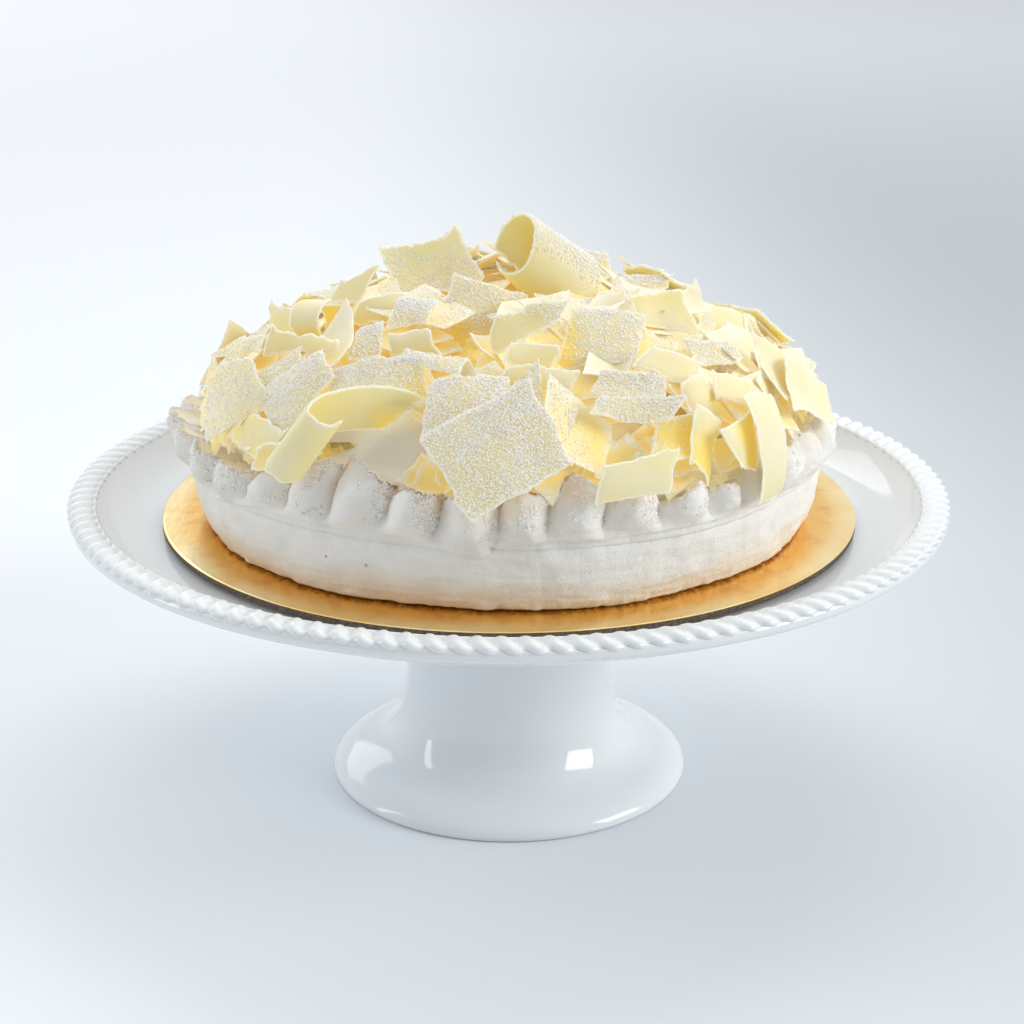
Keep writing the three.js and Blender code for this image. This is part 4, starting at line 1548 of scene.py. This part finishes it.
class HeapTop:
    """The heap's real upper outline, as heights over a level grid of square cells."""

    def __init__(self, cell: float = 3.0, reach: float = 160.0) -> None:
        """Starts with an empty grid out to the given reach."""
        self.cell, self.reach = cell, reach
        size = int(2 * reach / cell) + 1
        self.heights = np.zeros((size, size))

    def cells(self, points: Array) -> tuple[Array, Array]:
        """The grid cells that points lie in."""
        place = ((points[:, :2] + self.reach) / self.cell).astype(int).clip(0, len(self.heights) - 1)
        return place[:, 0], place[:, 1]

    def with_points(self, points: Array) -> HeapTop:
        """A copy in which every cell reaches at least up to the points in it."""
        grown = HeapTop(self.cell, self.reach)
        grown.heights = self.heights.copy()
        np.maximum.at(grown.heights, self.cells(points), points[:, 2])
        return grown

    def shade(self, skin: Skin) -> Array:
        """How much painted golden shade and glow a skin's points get, standing in for light that wanders
        through the heap.

        Formula: the top over a point is the mean over the nine cells round it of the highest
        of the nine cells round each. The shade grows from 1 to 13 mm below that, and is at
        least 0.4 times a share that grows as the surface turns downwards.

        Args:
            skin: the skin that is shaded.

        Returns:
            A share from 0 to 1 for each point.
        """
        shifts = list(itertools.product((-1, 0, 1), repeat=2))
        highest = np.max([np.roll(self.heights, shift, (0, 1)) for shift in shifts], axis=0)
        even = np.mean([np.roll(highest, shift, (0, 1)) for shift in shifts], axis=0)
        below = even[self.cells(skin.points)] - skin.points[:, 2]
        under = 0.4 * smoothstep(-skin.normals()[:, 2], -0.2, 0.6)
        return np.maximum(smoothstep(below, 1, 13), under)


def plate(middle: Array, flat: Array, thickness: float, dust: Array, rim: float = 0.25) -> Skin:
    """A closed sheet round its middle surface, thinner and rounded at its torn border.

    Formula: both faces stand half the thickness from the middle, and a quarter at the border.
    The mask edge runs from 1 at 0.3 mm from the border to 0 at 1.1 mm, and dust lies on the
    face that looks up.

    Args:
        middle: (rows, columns, 3) points of the middle surface.
        flat: (rows, columns, 2) the same points on the sheet before it bent, along and across.
        thickness: in millimetres.
        dust: (rows, columns) how much sugar lies on it.
        rim: how far the border's middle stands out.

    Returns:
        The skin with its masks edge, dust and flat.
    """
    rows, columns = middle.shape[:2]
    along = np.gradient(middle, axis=0)
    across = np.gradient(middle, axis=1)
    normal = unit(np.cross(along, across))
    ends = [flat[..., 0] - flat[0, :, 0], flat[-1, :, 0] - flat[..., 0]]
    sides = [flat[..., 1] - flat[:, :1, 1], flat[:, -1:, 1] - flat[..., 1]]
    inside = np.minimum.reduce([np.abs(d) for d in (*ends, *sides)])
    half = thickness / 2 * (0.5 + 0.5 * smoothstep(inside, 0, 1.0))[..., None]
    over, under = middle + normal * half, middle - normal * half
    loop = border_loop(rows, columns)
    border = middle.reshape(-1, 3)[loop]
    inner = middle[1:-1, 1:-1].mean(axis=(0, 1))
    tangent = unit(np.roll(border, -1, axis=0) - np.roll(border, 1, axis=0))
    outward = unit(np.cross(tangent, normal.reshape(-1, 3)[loop]))
    outward *= np.sign(np.einsum("ij,ij->i", outward, border - inner))[:, None]
    ring = border + outward * rim
    count = rows * columns
    numbers = 2 * count + np.arange(len(loop))
    faces = grid_faces(rows, columns, False, False)
    step = np.roll(np.arange(len(loop)), -1)
    walls = [
        np.stack([loop, loop[step], numbers[step], numbers], axis=1),
        np.stack([numbers, numbers[step], count + loop[step], count + loop], axis=1),
    ]
    turning = np.cross(middle[-1, 0] - middle[0, 0], middle[0, -1] - middle[0, 0])
    if normal.mean(axis=(0, 1)) @ turning < 0:
        faces = faces[:, ::-1]
    points = np.vstack([over.reshape(-1, 3), under.reshape(-1, 3), ring])
    edge = 1 - smoothstep(inside.ravel(), 0.3, 1.1)
    dust = dust.ravel()
    facing_up = smoothstep(normal[..., 2].ravel(), 0.05, 0.5)
    facing_down = smoothstep(-normal[..., 2].ravel(), 0.05, 0.5)
    sheet = np.concatenate([flat, np.zeros_like(flat[..., :1])], axis=-1).reshape(-1, 3) * MM
    masks = {
        "edge": np.concatenate([edge, edge, np.ones(len(loop))]),
        "dust": np.concatenate([dust * facing_up, dust * facing_down, 0.5 * dust[loop]]),
        "flat": np.vstack([sheet, sheet, sheet[loop]]),
    }
    return Skin(points, [np.vstack([faces[:, ::-1], faces + count, *walls])], masks)


def bent_sheet(spec: Shaving, step: float, seed: int) -> Skin:
    """A large flat or bent shaving with torn edges.

    Formula: on the sheet, q = (t - 1/2) * width * (1 + (2s - 1) * taper) across and
    p = (s - 1/2) * length + q * tan(lean) along, each border pushed in and out by noise. With
    k = bend / length, the point is middle + along * sin(kp) / k + across * q + out * ((1 - cos kp) / k
    + a cup of the width + ripples).

    Args:
        spec: the shaving.
        step: about how far apart its points lie.
        seed: picks its tears and ripples.

    Returns:
        The shaving's skin.
    """
    right, up, out = face_axes(*spec.attitude[:2])
    turn = math.radians(spec.attitude[2])
    along = right * math.cos(turn) + up * math.sin(turn)
    across = np.cross(out, along)
    length, width = spec.size
    taper, lean, bend = spec.form
    s, t = stops(length, step)[:, None], stops(width, step)[None, :]
    q = (t - 0.5) * width * (1 + (2 * s - 1) * taper)
    p = (s - 0.5) * length + q * math.tan(math.radians(lean))
    chart = np.stack([p, q, np.full_like(p, 10.0 * seed)], axis=-1)
    ends, sides = (2 * s - 1) + 0 * t, (2 * t - 1) + 0 * s
    pull = 0.16 * min(length, width)
    for corner, (end, side) in enumerate(itertools.product((-1, 1), repeat=2)):
        share = (1 + end * ends) * (1 + side * sides) / 4
        p = p + pull * (2 * float(scatter(seed, 70 + corner)) - 0.85) * end * share
        q = q + pull * (2 * float(scatter(seed, 80 + corner)) - 0.85) * side * share
    tear = 1.4 * noise(chart, 9, seed) + 0.55 * noise(chart, 2.2, seed + 1, 2)
    p = p + tear * ends * np.abs(ends) ** 3
    q = q + np.roll(tear, 3, axis=0) * sides * np.abs(sides) ** 3
    curvature = math.radians(bend) / length
    arc = curvature * p
    level = np.sin(arc) / curvature if curvature else p
    raised = (1 - np.cos(arc)) / curvature if curvature else 0 * p
    cup = (float(scatter(seed, 60)) - 0.5) * 0.24 * width * (sides**2 - 0.4)
    twist = (float(scatter(seed, 61)) - 0.5) * 0.16 * width * ends * sides
    raised = raised + cup + twist + 0.5 * noise(chart, 11, seed + 5) + 0.12 * noise(chart, 3, seed + 7)
    middle = spanned(np.array(spec.middle), (along, level), (across, q), (out, raised))
    flat = np.stack([p, q], axis=-1)
    return plate(middle, flat, LARGE_THICKNESS, sugar_on(spec.dusting, middle, seed))


def sugar_on(dusting: Dusting, middle: Array, seed: int) -> Array:
    """How much sugar lies at each point of a shaving, patchy and more towards its upper edge.

    Formula: the dusting's value times 0.62 at the lowest point to 1.22 at the highest, times
    patches of noise. A dusted top edge has all of it in the upper half.

    Args:
        dusting: how it lies.
        middle: (rows, columns, 3) points of the shaving.
        seed: picks the patches.

    Returns:
        An array of (rows, columns).
    """
    patches = 0.8 + 0.5 * noise(middle, 7, seed + 11, 2)
    z = middle[..., 2]
    up = (z - z.min()) / (z.max() - z.min())
    if dusting is Dusting.TOP_EDGE:
        return dusting.value * smoothstep(up, 0.55, 0.85) * patches
    return dusting.value * (0.62 + 0.6 * smoothstep(up, 0.35, 1)) * patches


def rolled_sheet(spec: Roll, seed: int) -> Skin:
    """A rolled shaving.

    Formula: at the share s round the roll and t down it, the angle is start + sweep * s, the
    radius is radius * (1 + (grow - 1) * s^power) * (1 + (foot - 1) * t), the point is mouth +
    right * r cos + up * flat * r sin + way * length * t, where the length goes from the first to
    the second one with s^power, and both borders are torn by noise.

    Args:
        spec: the roll.
        seed: picks its tears.

    Returns:
        The roll's skin.
    """
    right, up, _ = face_axes(*spec.faces)
    _, _, way = face_axes(*spec.runs)
    span = spec.radius * math.radians(abs(spec.sweep)) * (1 + (spec.grow - 1) / (spec.power + 1))
    first, last = spec.lengths
    longest = max(first, last)
    s, t = stops(span, 1.1)[:, None], stops(longest, 1.1)[None, :]
    chart = np.stack(np.broadcast_arrays(s * span, t * longest, 7.0 * seed), axis=-1)
    tear = 0.9 * noise(chart, 8, seed) + 0.35 * noise(chart, 2.2, seed + 1, 2)
    t = t + tear / longest * (2 * t - 1) * np.abs(2 * t - 1) ** 3
    s = s + np.roll(tear, 2, axis=1) / span * (2 * s - 1) * np.abs(2 * s - 1) ** 3
    phi = np.radians(spec.start + spec.sweep * s)
    share = np.clip(s, 0, 2) ** spec.power
    rho = spec.radius * (1 + (spec.grow - 1) * share) * (1 + (spec.foot - 1) * t)
    reach = (first + (last - first) * share) * t
    raised = rho * spec.flat * np.sin(phi)
    middle = spanned(np.array(spec.mouth), (right, rho * np.cos(phi)), (up, raised), (way, reach))
    flat = np.stack([s * span, reach], axis=-1)
    return plate(middle, flat, LARGE_THICKNESS, sugar_on(spec.dusting, middle, seed))


TO_THE_EYE = np.array([0, -0.945, 0.327])  # from the cake, a unit vector


@dataclass
class ShavingHeap:
    """The heap: named large shavings, hundreds of small ones and the core between them."""

    mound: Mound
    back_shavings: int = 10
    small_shavings: int = 390
    low_shavings: int = 300
    seed: int = 20

    def back_shaving(self, k: int) -> Shaving:
        """The k-th shaving laid on the back of the mound, facing outwards.

        Args:
            k: its number from 0.

        Returns:
            The shaving, with sizes and angles that the number picks.
        """
        angle = 105 + 150 * (k + 0.5) / self.back_shavings
        radius = (108, 74, 100, 50)[k % 4] + 6 * (scatter(k, 4) - 0.5)
        lift = 26 + 48 * (1 - (radius / self.mound.reach) ** 2.2) + 14 * scatter(k, 5)
        x, y, z = polar(np.radians(angle), radius, self.mound.top(radius) - 3)
        return Shaving(
            f"back_{k + 1:02d}",
            (x, y, z),
            (angle + 24 * (scatter(k, 6) - 0.5), lift, 70 * (scatter(k, 7) - 0.5)),
            (24 + 12 * scatter(k, 8), 15 + 9 * scatter(k, 9)),
            (0.5 * (scatter(k, 10) - 0.5), 40 * (scatter(k, 11) - 0.5), 70 * (scatter(k, 12) - 0.5)),
            (Dusting.EVEN, Dusting.HEAVY, Dusting.CLEAN)[k % 3],
        )

    def large(self) -> dict[str, Skin]:
        """The skins of all named shavings, by name."""
        sheets = [*SHAVINGS, *(self.back_shaving(k) for k in range(self.back_shavings))]
        skins = {spec.name: rolled_sheet(spec, 300 + k) for k, spec in enumerate(ROLLS)}
        skins.update({spec.name: bent_sheet(spec, 1.5, 100 + 3 * k) for k, spec in enumerate(sheets)})
        return skins

    def small(self) -> Skin:
        """The small shavings, laid all over the mound and into its depth, as one skin.

        Formula: each is a bent sheet as the large ones are, with six by four points, whose
        place is even over the dome and whose face looks out of it, give or take. The last ones
        lie low in a ring behind the border, closer to each other in front and further out on
        the left. Those that would stand before a large shaving or in a bay of the cream are
        left out.

        Returns:
            The skin of all of them.
        """
        chance = np.random.default_rng(self.seed)
        count = self.small_shavings + self.low_shavings
        low = np.arange(count) >= self.small_shavings
        angle = chance.uniform(-1, 1, count)
        angle = 180 * np.where(low, np.sign(angle) * np.abs(angle) ** 1.25, angle)
        flank = smoothstep(np.abs(angle), 48, 68)
        spread_radius = (109 + 5 * smoothstep(angle, 48, 75)) * np.sqrt(chance.uniform(0.01, 1, count))
        left = smoothstep(-angle, 50, 66) * (1 - smoothstep(-angle, 110, 135))
        radius = np.where(low, chance.uniform(104, 110, count) + 2.5 * left, spread_radius)
        front = 1 - smoothstep(np.abs(angle), 70, 110)
        depth = chance.uniform(-2.0, 7, count) + 2.5 * front
        depth = depth + 8 * smoothstep(np.abs(angle), 66, 100) * smoothstep(radius, 30, 65)
        height = np.where(low, chance.uniform(152, 162, count) - flank, self.mound.top(radius) - depth)
        middle = polar(np.radians(angle), radius, height)
        rising = 26 + 54 * (1 - (radius / self.mound.reach) ** 2.2) + chance.normal(0, 8, count)
        lift = np.where(low, chance.uniform(8, 38, count), rising)
        right, up, out = face_axes(angle + np.where(low, 8, 15) * chance.normal(0, 1, count), lift)
        turn = np.radians(np.where(low, 0.5, 1) * chance.uniform(-60, 60, count))[:, None]
        along = right * np.cos(turn) + up * np.sin(turn)
        across = np.cross(out, along)
        small = np.where(low, 0.8, 1)
        length, width = small * chance.uniform(16, 37, count), small * chance.uniform(11, 23, count)
        kept = self.clear(middle, length, angle, low)
        s, t = np.linspace(0, 1, 6)[None, :, None], np.linspace(0, 1, 4)[None, None, :]

        def each(values: Array) -> Array:
            """Values of the kept shavings, shaped for their grids."""
            return values[kept][:, None, None]

        taper = each(chance.uniform(-0.6, 0.6, count))
        lean = np.tan(np.radians(each(chance.uniform(-38, 38, count))))
        bend = chance.choice([-1, 1], count) * chance.uniform(6, 75, count) * np.where(low, 0.5, 1)
        q = (t - 0.5) * each(width) * (1 + (2 * s - 1) * taper)
        p = (s - 0.5) * each(length) + q * lean
        p = p + chance.normal(0, 0.55, p.shape)
        q = q + chance.normal(0, 0.35, q.shape)
        curvature = np.radians(each(bend)) / each(length)
        level = np.sin(curvature * p) / curvature
        raised = (1 - np.cos(curvature * p)) / curvature
        grid = spanned(each(middle), (each(along), level), (each(across), q), (each(out), raised))
        dusted = chance.uniform(0, 1, count) < 0.38
        dust = np.where(dusted, chance.uniform(0.3, 0.8, count), 0.0)[kept]
        flat = np.stack([p, q], axis=-1)
        return merge([
            plate(grid[k], flat[k], SMALL_THICKNESS, np.full(grid.shape[1:3], dust[k]), 0.1)
            for k in range(len(grid))
        ])

    @staticmethod
    def clear(middle: Array, length: Array, angle: Array, low: Array) -> Array:
        """Which small shavings stay: those clear of the cream's bays and not before a large one.

        Formula: one goes if it lies less than 18 mm ahead of a large shaving's face and beside
        its middle by less than 0.42 of its size plus 0.24 of the small one's length (0.3 and
        0.16 for the low ones). One that isn't low also goes if it lies 4 to 60 mm nearer to the
        eye and beside by less than 0.3 of the width plus 0.2 of the length. Round a roll's
        mouth a ball is kept free.

        Args:
            middle: the small shavings' middles.
            length: their lengths.
            angle: their column angles in degrees.
            low: which of them lie low behind the border.

        Returns:
            True for each that stays.
        """
        in_bay = (bay(np.radians(angle)) > 2.5) & (middle[:, 2] < 176)
        before = np.zeros(len(middle), bool)
        for spec in SHAVINGS:
            _, _, facing = face_axes(*spec.attitude[:2])
            ahead, aside = ahead_and_aside(middle, spec.middle, facing)
            reach = np.where(low, 0.3, 0.42) * max(spec.size) + np.where(low, 0.16, 0.24) * length
            before |= (ahead > np.where(low, 1, -2)) & (ahead < 18) & (aside < reach)
            ahead, aside = ahead_and_aside(middle, spec.middle, TO_THE_EYE)
            reach = 0.3 * min(spec.size) + 0.2 * length
            before |= ~low & (ahead > 4) & (ahead < 60) & (aside < reach)
        for spec in ROLLS:
            away = np.linalg.norm(middle - np.array(spec.mouth), axis=1)
            before |= away < 1.2 * spec.radius * min(spec.grow, 3) + 0.5 * length
        return ~(in_bay | before)

    def core(self) -> Skin:
        """The lumpy dome under the shavings. Formula: the mound set in by 11 mm, plus waves."""
        dome = np.linspace(8, 100, 30)[:, None]
        top = self.mound.top(dome + 8) - 11
        radii = np.vstack([dome, [[104], [107], [108], [107], [101]]])
        height = np.vstack([top, [[top[-1, 0] - 2], [top[-1, 0] - 6], [160], [154], [149]]])
        angle = round_columns(200)[None, :]
        radius = radii - bay(angle) * (radii / 106) ** 4
        where = polar(angle, radius, height + 0 * angle)
        lumps = 2.5 * noise(where, 9, 71, 3)
        return turned(radius + lumps * smoothstep(radii, 60, 100), height + lumps, angle[0])

    @staticmethod
    def shade(large: dict[str, Skin], small: Skin) -> None:
        """Sets the mask deep, the painted golden shade and glow, for which a large shaving doesn't shade
        itself, and thins the sugar.

        Args:
            large: the skins of all named shavings, by name.
            small: the skin of the small ones.
        """
        under = HeapTop().with_points(small.points)
        for name, skin in large.items():
            others = np.vstack([other.points for key, other in large.items() if key != name])
            skin.masks["deep"] = under.with_points(others).shade(skin)
        every_large = np.vstack([skin.points for skin in large.values()])
        small.masks["deep"] = under.with_points(every_large).shade(small)
        for skin in (*large.values(), small):
            skin.masks["dust"] = skin.masks["dust"] * (1 - 0.85 * skin.masks["deep"])

    def build(self, finishes: Finishes) -> None:
        """Makes the heap's pieces and the loose sugar on them."""
        large, small = self.large(), self.small()
        self.shade(large, small)
        for name, skin in large.items():
            stands_for = [f"shaving_{name}"]
            make_piece(f"flake_{name}", skin, [finishes.chocolate], stands_for, crease=50)
        heap = ["shavings_heap"]
        make_piece("heap_of_small_flakes", small, [finishes.crumbs], heap, crease=50)
        make_piece("heap_core", self.core(), [finishes.core], heap)
        sugar = SugarGrains(self.seed)
        sugar.strew("sugar_on_large_flakes", finishes, merge(list(large.values())), 6.5)
        sugar.strew("sugar_on_small_flakes", finishes, small, 1.0)


@dataclass
class SugarGrains:
    """Loose sugar crystals strewn over a skin."""

    seed: int
    smallest: float = 0.4
    largest: float = 0.85

    def over(self, skin: Skin, density: float, steepest: float = 0) -> Skin:
        """Strews crystals where the skin's dust mask says.

        Formula: a triangle's share is its area times its mean dust; a crystal's place in it is
        even. Each crystal is a four-faced one with uneven axes, turned at random.

        Args:
            skin: what the sugar falls on.
            density: crystals on a square millimetre of full dust.
            steepest: how far past upright, as a sine, a face may lean over and still hold some.

        Returns:
            The crystals as one skin.
        """
        chance = np.random.default_rng(self.seed)
        corners = skin.triangles()
        a, b, c = (skin.points[corners[:, i]] for i in range(3))
        facing = np.cross(b - a, c - a)
        area = np.linalg.norm(facing, axis=1) / 2
        held = smoothstep(facing[:, 2] / (2 * area + 1e-9), -steepest, 0.4)
        weight = area * skin.masks["dust"][corners].mean(axis=1) * held
        count = int(weight.sum() * density)
        throws = chance.uniform(0, weight.sum(), count)
        chosen = np.searchsorted(np.cumsum(weight), throws).clip(0, len(weight) - 1)
        u, v = chance.uniform(0, 1, (2, count, 1))
        flip = u + v > 1
        u, v = np.where(flip, 1 - u, u), np.where(flip, 1 - v, v)
        size = chance.uniform(self.smallest, self.largest, (count, 1)) / 2
        place = a[chosen] + u * (b - a)[chosen] + v * (c - a)[chosen]
        place = place + unit(facing)[chosen] * size * 0.45
        turn = unit(chance.normal(0, 1, (count, 3, 3)))
        first = turn[:, 0]
        second = unit(np.cross(first, turn[:, 1]))
        stretch = chance.uniform(0.5, 0.85, (count, 3, 1))
        axes = np.stack([first, second, np.cross(first, second)], axis=1) * stretch * size[:, :, None]
        corner = np.array([[1, 1, 1], [1, -1, -1], [-1, 1, -1], [-1, -1, 1]])
        points = place[:, None] + corner @ axes
        side = np.array([[0, 2, 1], [0, 1, 3], [0, 3, 2], [1, 2, 3]])
        faces = (side[None] + 4 * np.arange(count)[:, None, None]).reshape(-1, 3)
        return Skin(points.reshape(-1, 3), [faces])

    def strew(
        self,
        name: str,
        finishes: Finishes,
        skin: Skin,
        density: float,
        steepest: float = 0,
    ) -> None:
        """Makes the piece of all crystals on a skin.

        Args:
            name: the piece's name.
            finishes: all materials.
            skin: what the sugar falls on.
            density: crystals on a square millimetre of full dust.
            steepest: as for over.
        """
        grains = self.over(skin, density, steepest)
        make_piece(name, grains, [finishes.sugar], [])


# ------------------------------------------------------------------ studio


@dataclass(frozen=True)
class Lamp:
    """A rectangular soft light at a place, turned towards a target, in metres and watts."""

    name: str
    place: Point
    size: tuple[float, float]
    power: float
    colour: Point
    target: Point = (0, 0, 0.14)

    def build(self) -> None:
        """Makes the light."""
        data = bpy.data.lights.new(self.name, "AREA")
        data.shape = "RECTANGLE"
        data.size, data.size_y = self.size
        data.energy = self.power
        data.color = self.colour
        lamp = placed(self.name, data)
        lamp.location = self.place
        x, y, z = unit(np.array(self.place) - np.array(self.target))
        lamp.rotation_euler = (math.acos(z), 0, math.atan2(x, -y))


LAMPS = [
    Lamp("key_right", (1.8, -0.5, 0.92), (1.0, 0.9), 20, (1.0, 0.99, 0.965)),
    Lamp("window_left", (-1.1, -0.1, 0.5), (0.15, 0.9), 1.8, (0.97, 0.99, 1.0)),
    Lamp("top_behind", (0.2, 0.7, 1.6), (1.3, 0.9), 6, (1.0, 0.99, 0.97)),
    Lamp("backdrop_left", (-1.3, 3.0, 2.0), (2.2, 2.2), 22, (1.0, 1.0, 1.0), (-0.7, 2.6, 0)),
]


@dataclass
class Studio:
    """The floor, the lights and the camera."""

    aim: Point = (0, 0, 105.7)
    distance: float = 815
    elevation: float = 19.15
    lens: float = 74.36
    shift: float = 0.003
    floor_side: float = 9.0  # half the floor's length, in metres
    floor_light: Colour = rgb(233, 237, 241)
    # floor_dark: the colour of the painted shade on the right
    floor_dark: Colour = rgb(178, 185, 190)

    def camera(self) -> None:
        """Places the camera in front, looking slightly down."""
        data = bpy.data.cameras.new("camera")
        data.lens = self.lens
        data.sensor_width = 36
        data.shift_x = self.shift
        data.clip_start, data.clip_end = 0.05, 20
        camera = placed("camera", data)
        lift = math.radians(self.elevation)
        x, y, z = self.aim
        camera.location = (
            x * MM,
            (y - self.distance * math.cos(lift)) * MM,
            (z + self.distance * math.sin(lift)) * MM,
        )
        camera.rotation_euler = (math.pi / 2 - lift, 0, 0)
        bpy.context.scene.camera = camera

    def floor(self) -> None:
        """A wide plain floor with painted shade on the right, except far behind and far in front."""
        mesh = bpy.data.meshes.new("floor")
        side = self.floor_side
        corners = [(x * side, y * side, 0) for x, y in ((-1, -1), (1, -1), (1, 1), (-1, 1))]
        mesh.from_pydata(corners, [], [(0, 1, 2, 3)])
        material, graph, shader = shaded("floor", Gloss(roughness=0.9, specular=0.2))
        place = graph.place()
        depth = graph.add("ShaderNodeSeparateXYZ", {0: place}).outputs[1]
        # Painted shade: darker on the right, except far behind and far in front.
        right = graph.band(graph.along(place, (1.0, 0.1, 0)), -0.1, 0.5)
        share = graph.product(right, graph.band(depth, 0.6, 2.6, 1, 0.3))
        share = graph.product(share, graph.band(depth, -1.5, -0.5, 0.15, 1))
        graph.feed(shader, {"Base Color": graph.mix(share, self.floor_light, self.floor_dark)})
        mesh.materials.append(material)
        placed("floor", mesh)

    def sky(self) -> None:
        """Soft light from all round: bright above and behind, dimmer from the front."""
        world = bpy.data.worlds.new("studio")
        world.use_nodes = True
        graph = Graph(world.node_tree)
        way = graph.add("ShaderNodeTexCoord").outputs["Generated"]
        share = graph.band(graph.along(way, (-0.12, 0.72, 0.62)), -0.55, 0.75)
        colour = graph.mix(share, (0.34, 0.345, 0.35, 1), (0.86, 0.87, 0.88, 1))
        background = graph.add("ShaderNodeBackground", {"Color": colour, "Strength": 1.0})
        graph.add("ShaderNodeOutputWorld", {"Surface": background.outputs[0]})
        bpy.context.scene.world = world

    def build(self) -> None:
        """Sets up the studio and how the picture is developed."""
        self.camera()
        self.floor()
        self.sky()
        for lamp in LAMPS:
            lamp.build()
        scene = bpy.context.scene
        scene.view_settings.view_transform = "Standard"
        scene.view_settings.look = "None"
        scene.cycles.diffuse_bounces = 5


# ------------------------------------------------------------------ the whole


def node_box(node: str) -> tuple[Point, Point]:
    """Lowest and highest corner of a CAD node, in millimetres."""
    low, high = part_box(node)
    return tuple(value / MM for value in low), tuple(value / MM for value in high)


def main() -> None:
    """Builds the studio and the cake on its stand, piece by piece."""
    logging.basicConfig(level=logging.INFO, format="%(message)s")
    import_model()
    Studio().build()
    finishes = Finishes.build()

    _, (rim_radius, _, rim_height) = node_box("cake_stand")
    (_, _, board_bottom), (board_radius, _, board_top) = node_box("cake_board")
    (_, _, base_bottom), (_, _, base_top) = node_box("meringue_base")
    (_, _, border_bottom), _ = node_box("piped_border")
    (_, _, cream_bottom), _ = node_box("cream_filling")

    CakeStand(rim_radius, rim_height).build(finishes)
    CakeBoard(board_radius, board_bottom, board_top).build(finishes)
    wall = MeringueWall()
    MeringueBase(wall, base_bottom, base_top).build(finishes)
    border = PipedBorder(wall, border_bottom).build(finishes)
    CreamFilling(cream_bottom).build(finishes)
    ShavingHeap(Mound()).build(finishes)
    SugarGrains(5).strew("sugar_on_petals", finishes, border, 2.0, 0.8)


if __name__ == "__main__":
    main()
